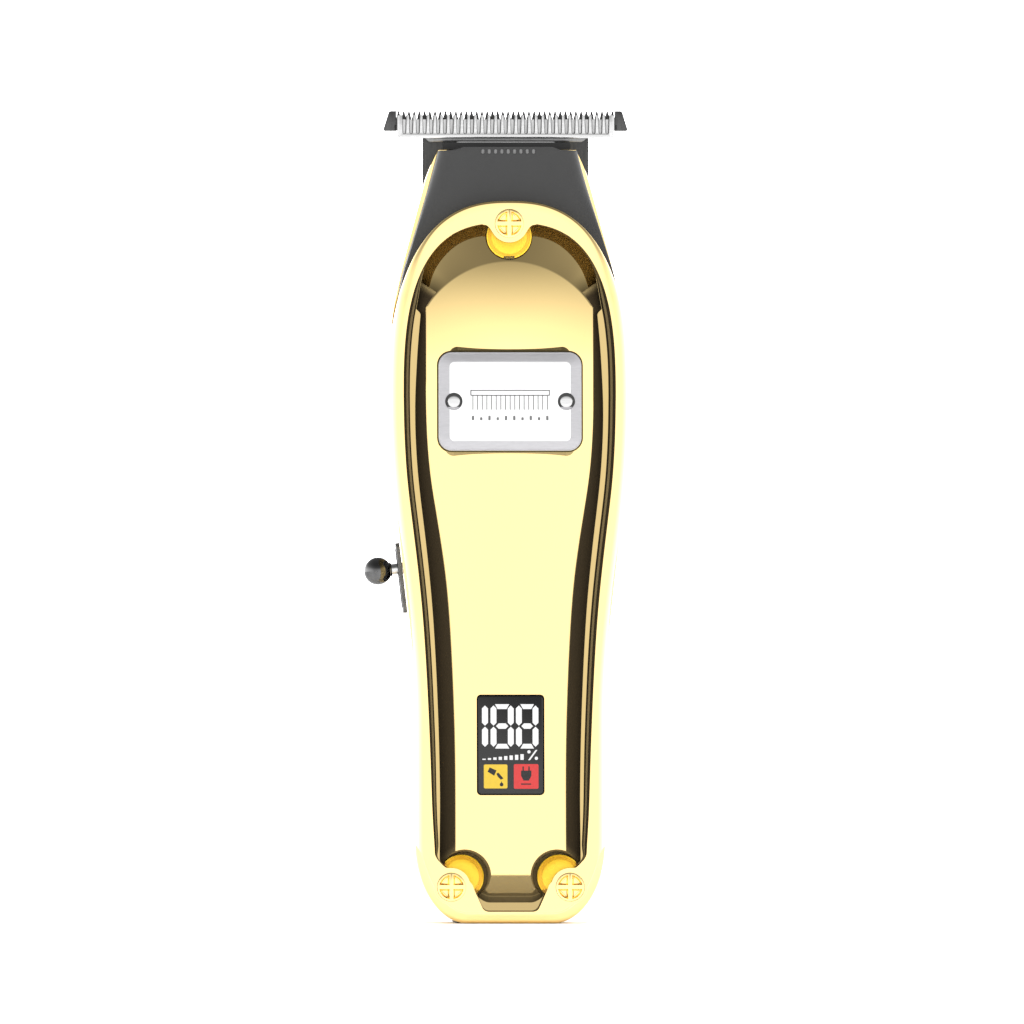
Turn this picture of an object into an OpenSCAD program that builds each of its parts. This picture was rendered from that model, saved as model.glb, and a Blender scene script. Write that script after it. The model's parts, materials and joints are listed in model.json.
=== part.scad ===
// Cordless hair trimmer with a T-blade: gold plated covers, dark neck, charge display
// and a side slide switch. Upright, blade at the top, front face towards -Y.
// The origin is the centre of the flat base.

/* [Body outline] */
// Half width of the flat under the covers
foot_hw = 7.2; // [6:0.1:8]
// Height over which the foot rounds out to the waist
foot_h = 14; // [12:0.5:16]
// Half width at the waist
waist_hw = 16.35; // [15.8:0.05:17]
// Height where the waist starts to widen
waist_z = 34; // [30:1:38]
// Half width at the widest point of the head
head_hw = 20.65; // [20:0.05:21.5]
// Height of the widest point
bulge_z = 90; // [88:1:92]
// Height of the front cover's top
cover_h = 124.2; // [123:0.1:126]
// Squareness of the head's curve, 2 is an ellipse
head_pow = 2.5; // [2.2:0.1:3]

/* [Front cover] */
// Distance of the front plane from the middle plane, at the base
front_base = 17.2; // [16.5:0.1:18]
// Lean of the front plane towards the head, in degrees
front_tilt = 3.05; // [2.5:0.05:3.5]
// Radius of the front edge
edge_r = 1.8; // [1:0.1:2.2]
// Wall thickness of both covers
wall = 1.4; // [1.2:0.1:1.6]
// Thickness of the front face under the rim
face_t = 3.3; // [3.1:0.1:3.5]
// Depth of the groove round the raised panel
groove_d = 1.9; // [1:0.1:2.1]
// Half width of the raised panel at the waist
panel_waist_hw = 9.4; // [9:0.1:10]
// Half width of the raised panel at the head
panel_head_hw = 14.3; // [13.5:0.1:14.8]
// Height of the panel's bottom crease
panel_bottom = 8.4; // [8:0.1:9]
// Height of the panel's top crease at its middle
panel_top = 113.8; // [113:0.1:115]
// Height where the panel's sides meet its top arc
panel_side_top = 105.8; // [105:0.1:107]

/* [Rear cover] */
// Distance of the back from the middle plane
rear_depth = 16.5; // [15.5:0.1:17.5]
// Distance of the back from the middle plane at the head
head_depth = 5.9; // [5.7:0.1:6.5]
// Squareness of the back's section, 2 is an ellipse
rear_pow = 2.6; // [2.2:0.1:3]

/* [Neck] */
// Height of the neck's top edge
neck_top = 133; // [132.5:0.1:133.2]
// Half width of the neck at its top edge
neck_hw = 11.9; // [11.5:0.1:12.1]
// Distance of the seat of the fixed blade behind the middle plane
seat_y = 5.0; // [4.8:0.1:5.2]

/* [Blades] */
// Height of the fixed blade's tooth tips
total_h = 139.8; // [139.6:0.1:140.2]
// Width of the fixed blade across its wings
blade_w = 42.2; // [41:0.1:43]
// Width of the fixed blade's shank
shank_w = 28.6; // [28:0.1:29.2]
// Thickness of the fixed blade's shank
shank_t = 1.75; // [1.6:0.05:2]
// Pitch of the fixed blade's teeth
fixed_pitch = 0.9; // [0.85:0.01:0.95]
// Width of the moving cutter
cutter_w = 37.4; // [37:0.1:37.8]
// Number of teeth on the moving cutter
cutter_teeth = 32; // [30:1:33]
// Movement of the cutter to each side
stroke = 1.0; // [0.8:0.05:1.1]

/* [Badge and display] */
// Width and height of the badge plate
badge_w = 24.6; // [24:0.1:25.2]
badge_h = 17.0; // [16.5:0.1:17.5]
// Height of the badge's middle
badge_z = 89.7; // [88:0.1:91]
// Distance between the two rivets
rivet_gap = 19.35; // [19:0.05:19.6]
// Width and height of the display window
window_w = 11.65; // [11:0.05:12]
window_h = 17.3; // [17:0.1:18]
// Height of the window's middle
window_z = 30.7; // [30:0.1:32]

/* [Motor and battery] */
// Radius of the motor can
motor_r = 10; // [9.5:0.1:10.2]
// Height of the motor can's lower end
motor_z = 71.5; // [71:0.1:72]
// Length of the motor can
motor_l = 24.5; // [24:0.1:24.8]
// Radius of the battery cell
cell_r = 9.1; // [8.8:0.05:9.15]
// Length of the battery cell
cell_l = 50; // [48:0.5:50]
// Height of the battery cell's lower end
cell_z = 16; // [15.5:0.1:16]

/* [Switch] */
// Height of the ball knob
ball_z = 61; // [60.5:0.1:61.2]
// Radius of the ball knob
ball_r = 2.4; // [2.2:0.05:2.5]
// Travel of the switch
switch_travel = 3.5; // [3:0.1:3.6]

/* [Hidden] */
$fn = 48;
gold = "gold";
dark = "#3c3c3e";
steel = "#c9cbce";
fit = 0.05;

// Screws of the front cover: [x, z], and the centre of the yellow collar beside each
screw_at = [[0, 120.3], [-10.2, 6.3], [10.2, 6.3]];
collar_at = [[0, 118.1], [-8.4, 8.05], [8.4, 8.05]];
screw_head_r = 2.45;
screw_head_t = 1.6;
screw_shank_r = 1;
screw_shank_l = 6;
lobe_r = 3.3;
collar_r = 3.9;
well_r = 4.6;
boss_r = 2.6;

// Base opening of the covers, filled by the base cap
base_hw = 9.1;
base_front = 9.5;
base_rear = 9.5;
socket_y = -4.5;
base_t = 1.6;

// Rear cover and neck meet the front cover along these heights
neck_low = 97;
part_front_y = -3.3;
part_rear_y = -2.7;
neck_front_y = -8.3;
neck_lean = 0.092;
mouth_hw = 10;

// Blade stack
blade_y = seat_y + fit;
cutter_t = 1.05;
cutter_y = blade_y - fit - cutter_t;
wing_low = 136.4;
blade_low = 110;
blade_screw_x = 7.5;
blade_screw_z = 114;
blade_screw_r = 1.25;
cutter_low = 135.05;
cutter_tip = 139.4;
tongue_hw = 8.7;
tongue_low = 126;

// Inside: the cell's distance behind the middle plane, the board's depth below the front
cell_y = 3;
board_d = 4.2;
board_t = 1.2;
lead_x = 4.5;
lead_z = cell_z - 1.2;

// Drive
shaft_r = 1;
cam_z = motor_z + motor_l + 3.5;
cam_l = 4.5;
pin_r = 0.9;
pin_l = 5.8;
pin_gap = 0.25;

// Switch: the side of the body leans out between these heights
switch_z = 59.35;
plate_l = 12.1;
switch_y = -1;
switch_lean = atan((body_hw(switch_z + plate_l / 2) - body_hw(switch_z - plate_l / 2)) / plate_l);

function mix(a, b, s) = a + (b - a) * s;
function ease(z, low, high) = (1 - cos(180 * max(0, min(1, (z - low) / (high - low))))) / 2;
function arch(t, p) = pow(max(0, 1 - pow(t, p)), 1 / p);

// Half width of the covers' outline at a height
function body_hw(z) =
    z < foot_h ? mix(foot_hw, waist_hw, arch((foot_h - z) / foot_h, 2))
    : z < bulge_z ? mix(waist_hw, head_hw, ease(z, waist_z, bulge_z))
    : head_hw * arch(min(1, (z - bulge_z) / (cover_h - bulge_z)), head_pow);

// Half width of the neck and of the rear cover's shoulders behind it
function neck_line(z) = neck_hw + 7.1 * pow(max(0, (neck_top - z) / 24), 1.08);
function shoulder_line(z) = 19.3 + (109 - z) * 0.27 - 0.8 * pow(max(0, z - 127) / 6, 2);
function neck_w(z) = mix(body_hw(z) - 0.25, neck_line(z), ease(z, 98, 112));
function rear_w(z) = mix(body_hw(z), shoulder_line(z), ease(z, 98, 114));

// Front plane, parting lines and back, as distances along Y
function front_y(z) = -front_base + tan(front_tilt) * z;
function part_y(z) = mix(part_front_y, neck_front_y + neck_lean * (z - 108), ease(z, 96, 112));
function rear_part_y(z) = mix(part_rear_y, -1, ease(z, 104, 130));
function rear_y(z) = z < foot_h
    ? mix(base_rear + 1.4, rear_depth, arch((foot_h - z) / foot_h, 2))
    : mix(rear_depth, head_depth, ease(z, 86, 110));

// Inner edge of the rim and the edge of the raised panel
function rim_hw(z) = z < bulge_z
    ? mix(mix(12.9, 13.9, ease(z, 2, waist_z)), 18.4, ease(z, waist_z, bulge_z + 2))
    : 18.4 * arch(min(1, (z - bulge_z) / 30.4), 2.8);
function panel_hw(z) = mix(panel_waist_hw, panel_head_hw, ease(z, 44, 86));

// Heights at which the covers' outline is sampled, closer together on the round ends
cover_heights = concat(
    [for (i = [0:7]) foot_h * (1 - cos(90 * i / 7))],
    [for (i = [1:15]) mix(foot_h, bulge_z, i / 15)],
    [for (i = [1:12]) bulge_z + (cover_h - bulge_z) * pow(sin(86 * i / 12), 2 / head_pow)]);
cover_side = [for (z = cover_heights) [body_hw(z), z]];

// A half outline moved inwards, square to itself
function inset(side, d) = [for (i = [0:len(side) - 1])
    let (before = i == 0 ? [-side[0].x, side[0].y] : side[i - 1],
         after = i == len(side) - 1 ? [-side[i].x, side[i].y] : side[i + 1],
         way = (after - before) / norm(after - before))
    side[i] - d * [way.y, -way.x]];

// A half section at height z as one closed ring
function section(half, z) = concat([for (p = half) [-p.x, p.y, z]],
    [for (i = [len(half) - 1:-1:0]) [half[i].x, half[i].y, z]]);

// Both halves of an outline as one closed list
function both(side) = concat(side, [for (i = [len(side) - 1:-1:0]) [-side[i].x, side[i].y]]);

// A closed solid through rings of equal length, whose points mirror each other in pairs
module loft(rings) {
    n = len(rings[0]);
    last = (len(rings) - 1) * n;
    polyhedron([for (ring = rings) each ring], concat(
        [for (i = [0:n / 2 - 2]) [i, i + 1, n - 2 - i, n - 1 - i]],
        [for (i = [0:n / 2 - 2]) [last + n - 1 - i, last + n - 2 - i, last + i + 1, last + i]],
        [for (k = [0:len(rings) - 2], i = [0:n - 1])
            [k * n + i, (k + 1) * n + i, (k + 1) * n + (i + 1) % n, k * n + (i + 1) % n]]));
}

// A flat outline in X and Z, thickened along Y from one distance to another
module slab(from, to) {
    translate([0, to, 0]) rotate([90, 0, 0]) linear_extrude(to - from) children();
}

// The frame of the leaning front plane: Y is the depth below it
module front_frame() {
    translate([0, -front_base, 0]) rotate([-front_tilt, 0, 0]) children();
}
function along(z) = z / cos(front_tilt);

// A cylinder along Y, given by its X and Z and its two ends
module pin_y(at, from, to, r) {
    translate([at.x, from, at.y]) rotate([-90, 0, 0]) cylinder(h = to - from, r = r);
}

module rounded(w, h, r) {
    square([w - 2 * r, h], center = true);
    square([w, h - 2 * r], center = true);
    for (x = [-1, 1], y = [-1, 1]) translate([x * (w / 2 - r), y * (h / 2 - r)]) circle(r);
}

// The frame of the switch: origin on the left side of the body, Z along its slope
module switch_frame() {
    translate([-body_hw(switch_z), switch_y, switch_z]) rotate([0, -switch_lean, 0]) children();
}

// Covers ---------------------------------------------------------------

module base_opening(gap) {
    translate([-base_hw - gap, -base_front - gap, -1])
        cube([2 * (base_hw + gap), base_front + base_rear + 2 * gap, base_t + 1 + gap]);
}

module rim_opening() {
    heights = concat([for (i = [0:15]) mix(2, bulge_z, i / 15)],
        [for (i = [1:12]) bulge_z + 30.4 * pow(sin(86 * i / 12), 2 / 2.8)]);
    polygon(both([for (z = heights) [rim_hw(z), along(z)]]));
}

module panel_outline(grow) {
    rise = panel_top - panel_side_top;
    arc_r = (panel_head_hw * panel_head_hw + rise * rise) / (2 * rise);
    half = asin(panel_head_hw / arc_r);
    polygon(both(concat(
        [for (i = [0:14]) let (z = mix(panel_bottom, panel_side_top, i / 14))
            [panel_hw(z) + grow, along(z) - (i == 0 ? grow : 0)]],
        [for (i = [1:8]) let (a = half * (1 - i / 9))
            [(arc_r + grow) * sin(a), along(panel_top - arc_r) + (arc_r + grow) * cos(a)]])));
}

module lobes(r) {
    for (at = screw_at) translate([at.x, along(at.y)]) circle(r);
}

module front_cover() {
    shell = concat([for (k = [0:1])
            [for (p = both(cover_side)) [p.x, k == 0 ? part_y(p.y) : front_y(p.y) + edge_r, p.y]]],
        [for (k = [1:4]) let (a = 22.5 * k)
            [for (p = both(inset(cover_side, edge_r * (1 - cos(a)))))
                [p.x, front_y(p.y) + edge_r * (1 - sin(a)), p.y]]]);
    color(gold) difference() {
        union() {
            loft(shell);
            front_frame() translate([0, 0, along(badge_z)]) slab(-0.6, 0.3) square([20.8, 19.2], center = true);
        }
        // Hollow behind the face, and behind the raised panel
        front_frame() slab(face_t, 20) intersection() {
            polygon(both([for (p = inset(cover_side, wall + 0.1)) [p.x, along(p.y)]]));
            translate([-30, 0]) square([60, 106]);
        }
        front_frame() slab(wall, face_t + 0.1) intersection() {
            panel_outline(-1.6);
            translate([-20, 17]) square([40, 85]);
        }
        // Groove with a stepped shoulder
        front_frame() slab(-1, groove_d / 2) difference() {
            rim_opening();
            panel_outline(0);
            lobes(lobe_r);
        }
        front_frame() slab(-1, groove_d) difference() {
            rim_opening();
            panel_outline(1);
            lobes(lobe_r);
        }
        // Wells for the collars, and seats and holes for the screws
        front_frame() slab(-1, groove_d) difference() {
            for (at = collar_at) translate([at.x, along(at.y)]) circle(well_r);
            lobes(lobe_r);
        }
        front_frame() for (at = screw_at) {
            pin_y([at.x, along(at.y)], -1, screw_head_t, screw_head_r + fit);
            pin_y([at.x, along(at.y)], 0, 8, screw_shank_r + 0.2);
        }
        // Display opening and rivet holes
        front_frame() translate([0, 0, along(window_z)]) slab(-1, 4) rounded(window_w, window_h, 0.75);
        front_frame() for (x = [-1, 1]) pin_y([x * rivet_gap / 2, along(badge_z)], -2, 3, 0.7);
        base_opening(fit);
        switch_opening(fit);
        side_notch();
    }
}

// The front cover leaves room below its parting line for the head's sides
module side_notch() {
    translate([-30, part_front_y, neck_low - 1]) cube([60, 20, 60]);
}

module rear_solid(d, low, high) {
    steps = 30;
    heights = [for (i = [0:steps]) low + (high - low) * (i < 8
        ? (foot_h / (high - low)) * (1 - cos(90 * i / 8))
        : mix(foot_h / (high - low), 1, (i - 8) / (steps - 8)))];
    loft([for (z = heights)
        let (thin = d == 0 ? 0 : d + 1.1 * ease(z, 100, 110),
             a = rear_w(z) - d,
             y0 = rear_part_y(z),
             deep = rear_y(z) - thin - y0)
        [for (i = [0:23]) let (t = 180 * i / 23)
            [a * sign(cos(t)) * pow(abs(cos(t)), 2 / rear_pow),
             y0 + deep * pow(abs(sin(t)), 2 / rear_pow) - (d == 0 ? 0 : (i == 0 || i == 23) ? 1 : 0),
             z]]]);
}

module rear_cover() {
    color(gold) difference() {
        rear_solid(0, 0, neck_top);
        rear_solid(wall, wall, neck_top + 0.5);
        // Seat of the fixed blade, the cutter's window and the mouth
        translate([-30, seat_y, blade_low - 0.1]) cube([60, 20, 40]);
        translate([-mouth_hw, -5, 119]) cube([2 * mouth_hw, 20, 40]);
        for (x = [-1, 1]) pin_y([x * blade_screw_x, blade_screw_z], 0, 10, blade_screw_r + 0.1);
        base_opening(fit);
        switch_opening(fit);
        stem_slot();
    }
}

module head_housing() {
    heights = [for (i = [0:18]) mix(neck_low, neck_top, i / 18)];
    color(dark) difference() {
        union() {
            difference() {
                loft([for (z = heights)
                    let (a = neck_w(z), y0 = rear_part_y(z) - fit, y1 = part_y(z) + 4 * fit,
                         r = min(0.3 + 2.2 * ease(z, 117, 128), (y0 - y1) * 0.45))
                    section([[a, y0], for (k = [0:4]) let (t = 22.5 * k)
                        [a - r * (1 - cos(t)), y1 + r * (1 - sin(t))]], z)]);
                // Hollow behind the front wall
                loft([for (z = [neck_low - 0.5, 102, 107, 112, 118, 124, 129, neck_top + 0.5])
                    let (a = neck_w(z) - wall - 0.2, y1 = part_y(z) + 1.7)
                    section([[a, rear_part_y(z) + 1], [a, min(y1, rear_part_y(z))]], z)]);
            }
            // Bosses for the blade screws and the cover's top screw, lugs for the spring
            for (x = [-1, 1]) pin_y([x * blade_screw_x, blade_screw_z], part_y(blade_screw_z) + 1, 2.5, boss_r);
            pin_y([0, screw_at[0].y], part_y(screw_at[0].y) + 1, -0.6, boss_r);
            for (x = [-1, 1]) pin_y([x * 5.5, 118.4], part_y(118.4) + 1, 0.3, 0.9);
        }
        for (x = [-1, 1]) pin_y([x * blade_screw_x, blade_screw_z], -3, 5, blade_screw_r);
        front_frame() pin_y([0, along(screw_at[0].y)], 0, 9, screw_shank_r);
        // Fine ribs along the top edge
        for (i = [-4:4]) translate([i * 1.1, part_y(neck_top) - 0.05, neck_top - 0.5])
            cube([0.5, 0.8, 1], center = true);
    }
}

module base_cap() {
    color("#1c1c1e") difference() {
        union() {
            base_cap_plate();
            translate([-7, -7.5, base_t]) cube([14, 14, 2.4]);
        }
        translate([0, socket_y, -1]) linear_extrude(10) rounded(9.04, 3.36, 1.6);
    }
}

module base_cap_plate() {
    translate([0, (base_rear - base_front) / 2, 0])
        linear_extrude(base_t) rounded(2 * base_hw, base_front + base_rear, 1);
}

// Inner frame ------------------------------------------------------------

module ring_2d(outer, inner, top) {
    intersection() {
        difference() {
            polygon(both(inset(cover_side, outer)));
            polygon(both(inset(cover_side, inner)));
        }
        translate([-30, 0]) square([60, top]);
    }
}

module chassis() {
    gap = wall + 0.2;
    thick = 1.5;
    inner_y = 0.4;
    color(dark) difference() {
        union() {
            slab(-7.5, inner_y) ring_2d(gap, gap + thick, 96);
            slab(part_front_y + fit, part_rear_y - fit) ring_2d(0.2, gap + thick, neck_low - fit);
            // Wall in front of the battery, bulkhead above it
            slab(-7.9, -6.5) chassis_panel(12, 69);
            slab(-7.5, 3.5) chassis_panel(67.5, 69);
            // Cradles that hold the motor can
            difference() {
                for (z = [76, 90]) slab(-7.5, 3.5) chassis_panel(z, z + 2);
                translate([0, 0, motor_z]) cylinder(h = motor_l, r = motor_r + fit);
            }
            // Bosses for the lower cover screws
            for (i = [1, 2]) {
                pin_y(screw_at[i], -13, -6, boss_r);
                pin_y(screw_at[i], -6.5, inner_y, boss_r);
            }
        }
        front_frame() for (i = [1, 2]) {
            pin_y([screw_at[i].x, along(screw_at[i].y)], 0, 10, screw_shank_r);
        }
        // Room for the base cap, the socket, the switch stem and the motor leads
        base_opening(fit);
        translate([-7 - fit, -7.5 - fit, 0]) cube([14 + 2 * fit, 14 + 2 * fit, 4 + fit]);
        stem_slot();
        switch_opening(fit);
        translate([-4, -8.5, 64]) cube([8, 5.5, 7]);
        for (x = [-1, 1]) pin_y([x * lead_x, lead_z], -9, -6, 0.8);
    }
}

module chassis_panel(low, high) {
    intersection() {
        polygon(both(inset(cover_side, wall + 1)));
        translate([-30, low]) square([60, high - low]);
    }
}

// Blades -----------------------------------------------------------------

// A comb of tapered teeth standing on a bar, centred on X = 0
module comb(count, pitch, root_w, tip_w, low, tip) {
    for (i = [0:count - 1]) translate([(i - (count - 1) / 2) * pitch, 0])
        polygon([[-root_w / 2, low], [root_w / 2, low], [tip_w / 2, tip], [-tip_w / 2, tip]]);
}

module fixed_blade() {
    wing = 2.1;
    hw = blade_w / 2;
    color("#2c2c2e") difference() {
        union() {
            slab(blade_y, blade_y + shank_t) {
                translate([-shank_w / 2, blade_low]) square([shank_w, wing_low - blade_low + 0.1]);
                // Fillets under the wings
                for (x = [-1, 1]) difference() {
                    translate([x * (shank_w / 2 + 0.4), wing_low - 0.4]) square(1.0, center = true);
                    translate([x * (shank_w / 2 + 0.9), wing_low - 0.9]) circle(0.9);
                }
            }
            slab(blade_y, blade_y + 1.15) {
                translate([-hw + wing, wing_low]) square([2 * (hw - wing), 0.9]);
                comb(42, fixed_pitch, 0.55, 0.3, wing_low + 0.8, total_h);
                for (x = [-1, 1]) polygon([[x * (hw - wing), wing_low], [x * hw, wing_low],
                    [x * (hw - 0.75), total_h - 0.6], [x * (hw - 1.3), total_h],
                    [x * (hw - wing), total_h]]);
            }
        }
        for (x = [-1, 1]) pin_y([x * blade_screw_x, blade_screw_z], 0, 10, blade_screw_r + 0.1);
    }
}

module blade_screws() {
    head_r = 2.6;
    color(steel) for (x = [-1, 1]) difference() {
        union() {
            pin_y([x * blade_screw_x, blade_screw_z], blade_y + shank_t, blade_y + shank_t + 1.6, head_r);
            pin_y([x * blade_screw_x, blade_screw_z], -2.5, blade_y + shank_t + 0.1, blade_screw_r);
        }
        for (turn = [0, 90]) translate([x * blade_screw_x, blade_y + shank_t + 1.5, blade_screw_z])
            rotate([0, turn, 0]) cube([3, 1.6, 0.7], center = true);
    }
}

module cutter_blade() {
    pitch = (cutter_w - 1.2) / (cutter_teeth - 1);
    color(steel) slab(cutter_y, cutter_y + cutter_t) {
        translate([-cutter_w / 2 + 0.4, cutter_low]) square([cutter_w - 0.8, 1]);
        translate([-cutter_w / 2, cutter_low + 0.4]) square([cutter_w, 0.6]);
        for (x = [-1, 1]) translate([x * (cutter_w / 2 - 0.4), cutter_low + 0.4]) circle(0.4);
        comb(cutter_teeth, pitch, 0.8, 0.5, cutter_low + 0.85, cutter_tip);
        translate([-tongue_hw, tongue_low]) square([2 * tongue_hw, cutter_low - tongue_low + 0.1]);
        translate([-13, cutter_low - 0.65]) square([26, 0.7]);
    }
}

module cutter_drive() {
    fork_z = cam_z + cam_l + 1.5;
    fork_h = 6;
    color("#232325") difference() {
        union() {
            translate([-3, -3, fork_z]) cube([6, 6, fork_h]);
            translate([-3, 1.6, fork_z + fork_h - 2]) cube([6, 1.5, 17]);
            translate([-tongue_hw, 1.4, 124]) cube([2 * tongue_hw, cutter_y - 1.4, 9]);
            translate([-11, 1.4, neck_top + 0.2]) cube([22, cutter_y - 1.4, 1.15]);
            translate([-tongue_hw, 1.4, 132]) cube([2 * tongue_hw, cutter_y - 1.4, 2]);
        }
        // Slot that the pin of the eccentric runs in
        translate([-pin_r - pin_gap, -2.4, fork_z - 1]) cube([2 * (pin_r + pin_gap), 4.8, 5.5]);
    }
}

module cutter_spring() {
    r = 0.4;
    y = 0.85;
    color(steel) {
        for (x = [-1, 1]) {
            translate([x * 5.5, y, 118.4]) cylinder(h = 11, r = r);
            translate([x * 5.5, y, 118.4]) sphere(r);
            translate([x * 5.5, y, 129.4]) sphere(r);
        }
        translate([-5.5, y, 118.4]) rotate([0, 90, 0]) cylinder(h = 11, r = r);
    }
}

// Motor ------------------------------------------------------------------

module motor_can() {
    color(steel) translate([0, 0, motor_z]) difference() {
        union() {
            cylinder(h = motor_l, r = motor_r);
            translate([0, 0, motor_l - 0.1]) cylinder(h = 2.1, r = 2.6);
        }
        translate([0, 0, -1]) cylinder(h = motor_l - 0.1, r = motor_r - 0.9);
        translate([0, 0, motor_l - 3]) cylinder(h = 10, r = 2);
    }
}

module motor_magnets() {
    color("#55585c") translate([0, 0, motor_z + 5]) difference() {
        cylinder(h = 16, r = motor_r - 0.95);
        translate([0, 0, -1]) cylinder(h = 18, r = 7.1);
        for (turn = [0, 90]) rotate([0, 0, turn]) translate([-2, turn == 0 ? -12 : -1, -1])
            cube([4, turn == 0 ? 24 : 2, 18]);
    }
}

module motor_end_cap() {
    color("#e8e4d8") translate([0, 0, motor_z - 1.2]) difference() {
        union() {
            cylinder(h = 1.2, r = motor_r);
            translate([0, 0, 1.1]) cylinder(h = 2, r = motor_r - 0.95);
        }
        translate([0, 0, -1]) cylinder(h = 6, r = 2);
    }
}

module motor_bushes() {
    color("#b08d57") for (z = [motor_z - 1.2, motor_z + motor_l - 1]) translate([0, 0, z]) difference() {
        cylinder(h = 3, r = 2);
        translate([0, 0, -1]) cylinder(h = 5, r = shaft_r + 0.03);
    }
}

module motor_brushes() {
    color("#9a6a3a") for (x = [-1, 1])
        translate([x * 3.75 - 1.1, -1.2, motor_z + 2.4]) cube([2.2, 2.4, 1.8]);
}

module motor_shaft() {
    color(steel) translate([0, 0, motor_z - 1]) cylinder(h = cam_z + 3 - motor_z + 1, r = shaft_r);
}

module armature() {
    color("#a0522d") translate([0, 0, motor_z + 7]) difference() {
        cylinder(h = 12, r = 6.7);
        for (turn = [0, 120, 240]) rotate([0, 0, turn]) translate([0, 5.8, -1])
            linear_extrude(14) square([1.2, 3], center = true);
        translate([0, 0, -1]) cylinder(h = 14, r = shaft_r);
    }
}

module commutator() {
    color("#b87333") translate([0, 0, motor_z + 2.2]) difference() {
        cylinder(h = 4, r = 2.5);
        translate([0, 0, -1]) cylinder(h = 6, r = shaft_r);
    }
}

module eccentric() {
    color("#e9e9ec") difference() {
        union() {
            translate([0, 0, cam_z]) cylinder(h = cam_l, r = 2.7);
            translate([0, -stroke, cam_z + cam_l - 0.1]) cylinder(h = pin_l, r = pin_r);
        }
        translate([0, 0, cam_z - 1]) cylinder(h = 4, r = shaft_r);
    }
}

// A straight wire between two points
module wire(from, to, r) {
    d = to - from;
    translate(from) rotate([0, acos(d.z / norm(d)), atan2(d.y, d.x)]) cylinder(h = norm(d), r = r);
}

module motor_leads() {
    for (x = [-1, 1]) color(x < 0 ? "red" : "black") {
        wire([x * 3, -7.7, 64.6], [x * 3, -4.6, motor_z - 1.6], 0.6);
    }
}

// Electrics ----------------------------------------------------------------

module battery_cell() {
    color("#3a7fb8") translate([0, cell_y, cell_z]) {
        cylinder(h = cell_l, r = cell_r);
        translate([0, 0, cell_l - 0.1]) cylinder(h = 0.9, r = 3);
    }
}

module battery_tabs() {
    color(steel) {
        translate([-2.5, -5.8, cell_z - 0.2]) cube([5, 12, 0.2]);
        translate([-2.5, -5.8, cell_z + cell_l + 0.8]) cube([5, 12, 0.2]);
    }
}

module battery_leads() {
    for (x = [-1, 1]) color(x < 0 ? "black" : "red") pin_y([x * lead_x, lead_z], -10.9, 0.1, 0.6);
}

module control_board() {
    color("#1f6b3a") front_frame() {
        translate([-7.6, board_d, 13]) cube([15.2, board_t, 52]);
        translate([-3, board_d + board_t - 0.05, 50]) cube([6, 0.9, 5]);
        translate([3.6, board_d + board_t - 0.05, 42]) cube([3, 0.7, 3]);
    }
}

module display_module() {
    color("white") front_frame() translate([0, 0, along(window_z)])
        slab(1, board_d) square([window_w - 0.6, window_h - 0.6], center = true);
}

module display_window() {
    color("#26262a") front_frame() translate([0, 0, along(window_z)])
        slab(0, 1) rounded(window_w, window_h, 0.75);
}

module charge_socket() {
    color(steel) difference() {
        translate([0, socket_y, 0.3]) linear_extrude(7.4) rounded(8.94, 3.26, 1.55);
        translate([0, socket_y, 0]) linear_extrude(6.8) rounded(8.34, 2.56, 1.2);
    }
    color("black") translate([-3.35, socket_y - 0.35, 1]) cube([6.7, 0.7, 6.3]);
}

// Switch -------------------------------------------------------------------

module switch_opening(gap) {
    switch_frame() cube([1.3 + 2 * gap, 6.2 + 2 * gap, plate_l + 2 * gap], center = true);
}

// Slot through the side wall that the stem of the knob slides in
module stem_slot() {
    switch_frame() translate([0, 0, 1.65 - switch_travel / 2])
        cube([8, 2.6, switch_travel + 2.6], center = true);
}

module switch_plate() {
    color("#2a2a2c") switch_frame() difference() {
        cube([1.2, 6.2, plate_l], center = true);
        translate([0, 0, 1.65 - switch_travel / 2]) {
            cube([3, 2.3, switch_travel], center = true);
            for (z = [-1, 1]) translate([0, 0, z * switch_travel / 2]) rotate([0, 90, 0])
                cylinder(h = 3, r = 1.15, center = true);
        }
    }
}

module switch_slider() {
    color(steel) switch_frame() translate([0, 0, 1.65]) {
        translate([-3.9, 0, 0]) rotate([0, 90, 0]) cylinder(h = 7.5, r = 0.95);
        translate([4.7, 0, 0]) cube([2.2, 4, 5], center = true);
    }
}

module switch_ball() {
    color("#4a4c50") switch_frame() translate([-3.9, 0, 1.65]) rotate([0, 90, 0])
        rotate_extrude() difference() {
            circle(ball_r);
            translate([-5, -5]) square([5, 10]);
            square([0.95, 5]);
        }
}

module switch_contacts() {
    color("#8a8d90") switch_frame() translate([7.1, 0, 0]) difference() {
        cube([2.2, 5.4, 13], center = true);
        translate([-1.1, 0, 0]) cube([3, 4.6, 10.6], center = true);
    }
}

// Badge and fasteners ----------------------------------------------------

module badge_plate() {
    color("#d8d9dc") front_frame() translate([0, 0, along(badge_z)]) difference() {
        union() {
            slab(-1.05, -0.6) rounded(badge_w, badge_h, 2.1);
            slab(-1.5, -1) rounded(badge_w - 2.4, badge_h - 2.4, 1.2);
        }
        for (x = [-1, 1]) {
            pin_y([x * rivet_gap / 2, 0], -2, -1.15, 1.48);
            pin_y([x * rivet_gap / 2, 0], -2, 0, 0.7);
        }
    }
}

module badge_rivets() {
    color(steel) front_frame() for (x = [-1, 1]) {
        pin_y([x * rivet_gap / 2, along(badge_z)], -1.15, 0.9, 0.7);
        pin_y([x * rivet_gap / 2, along(badge_z)], -1.55, -1.15, 1.15);
    }
}

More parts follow.
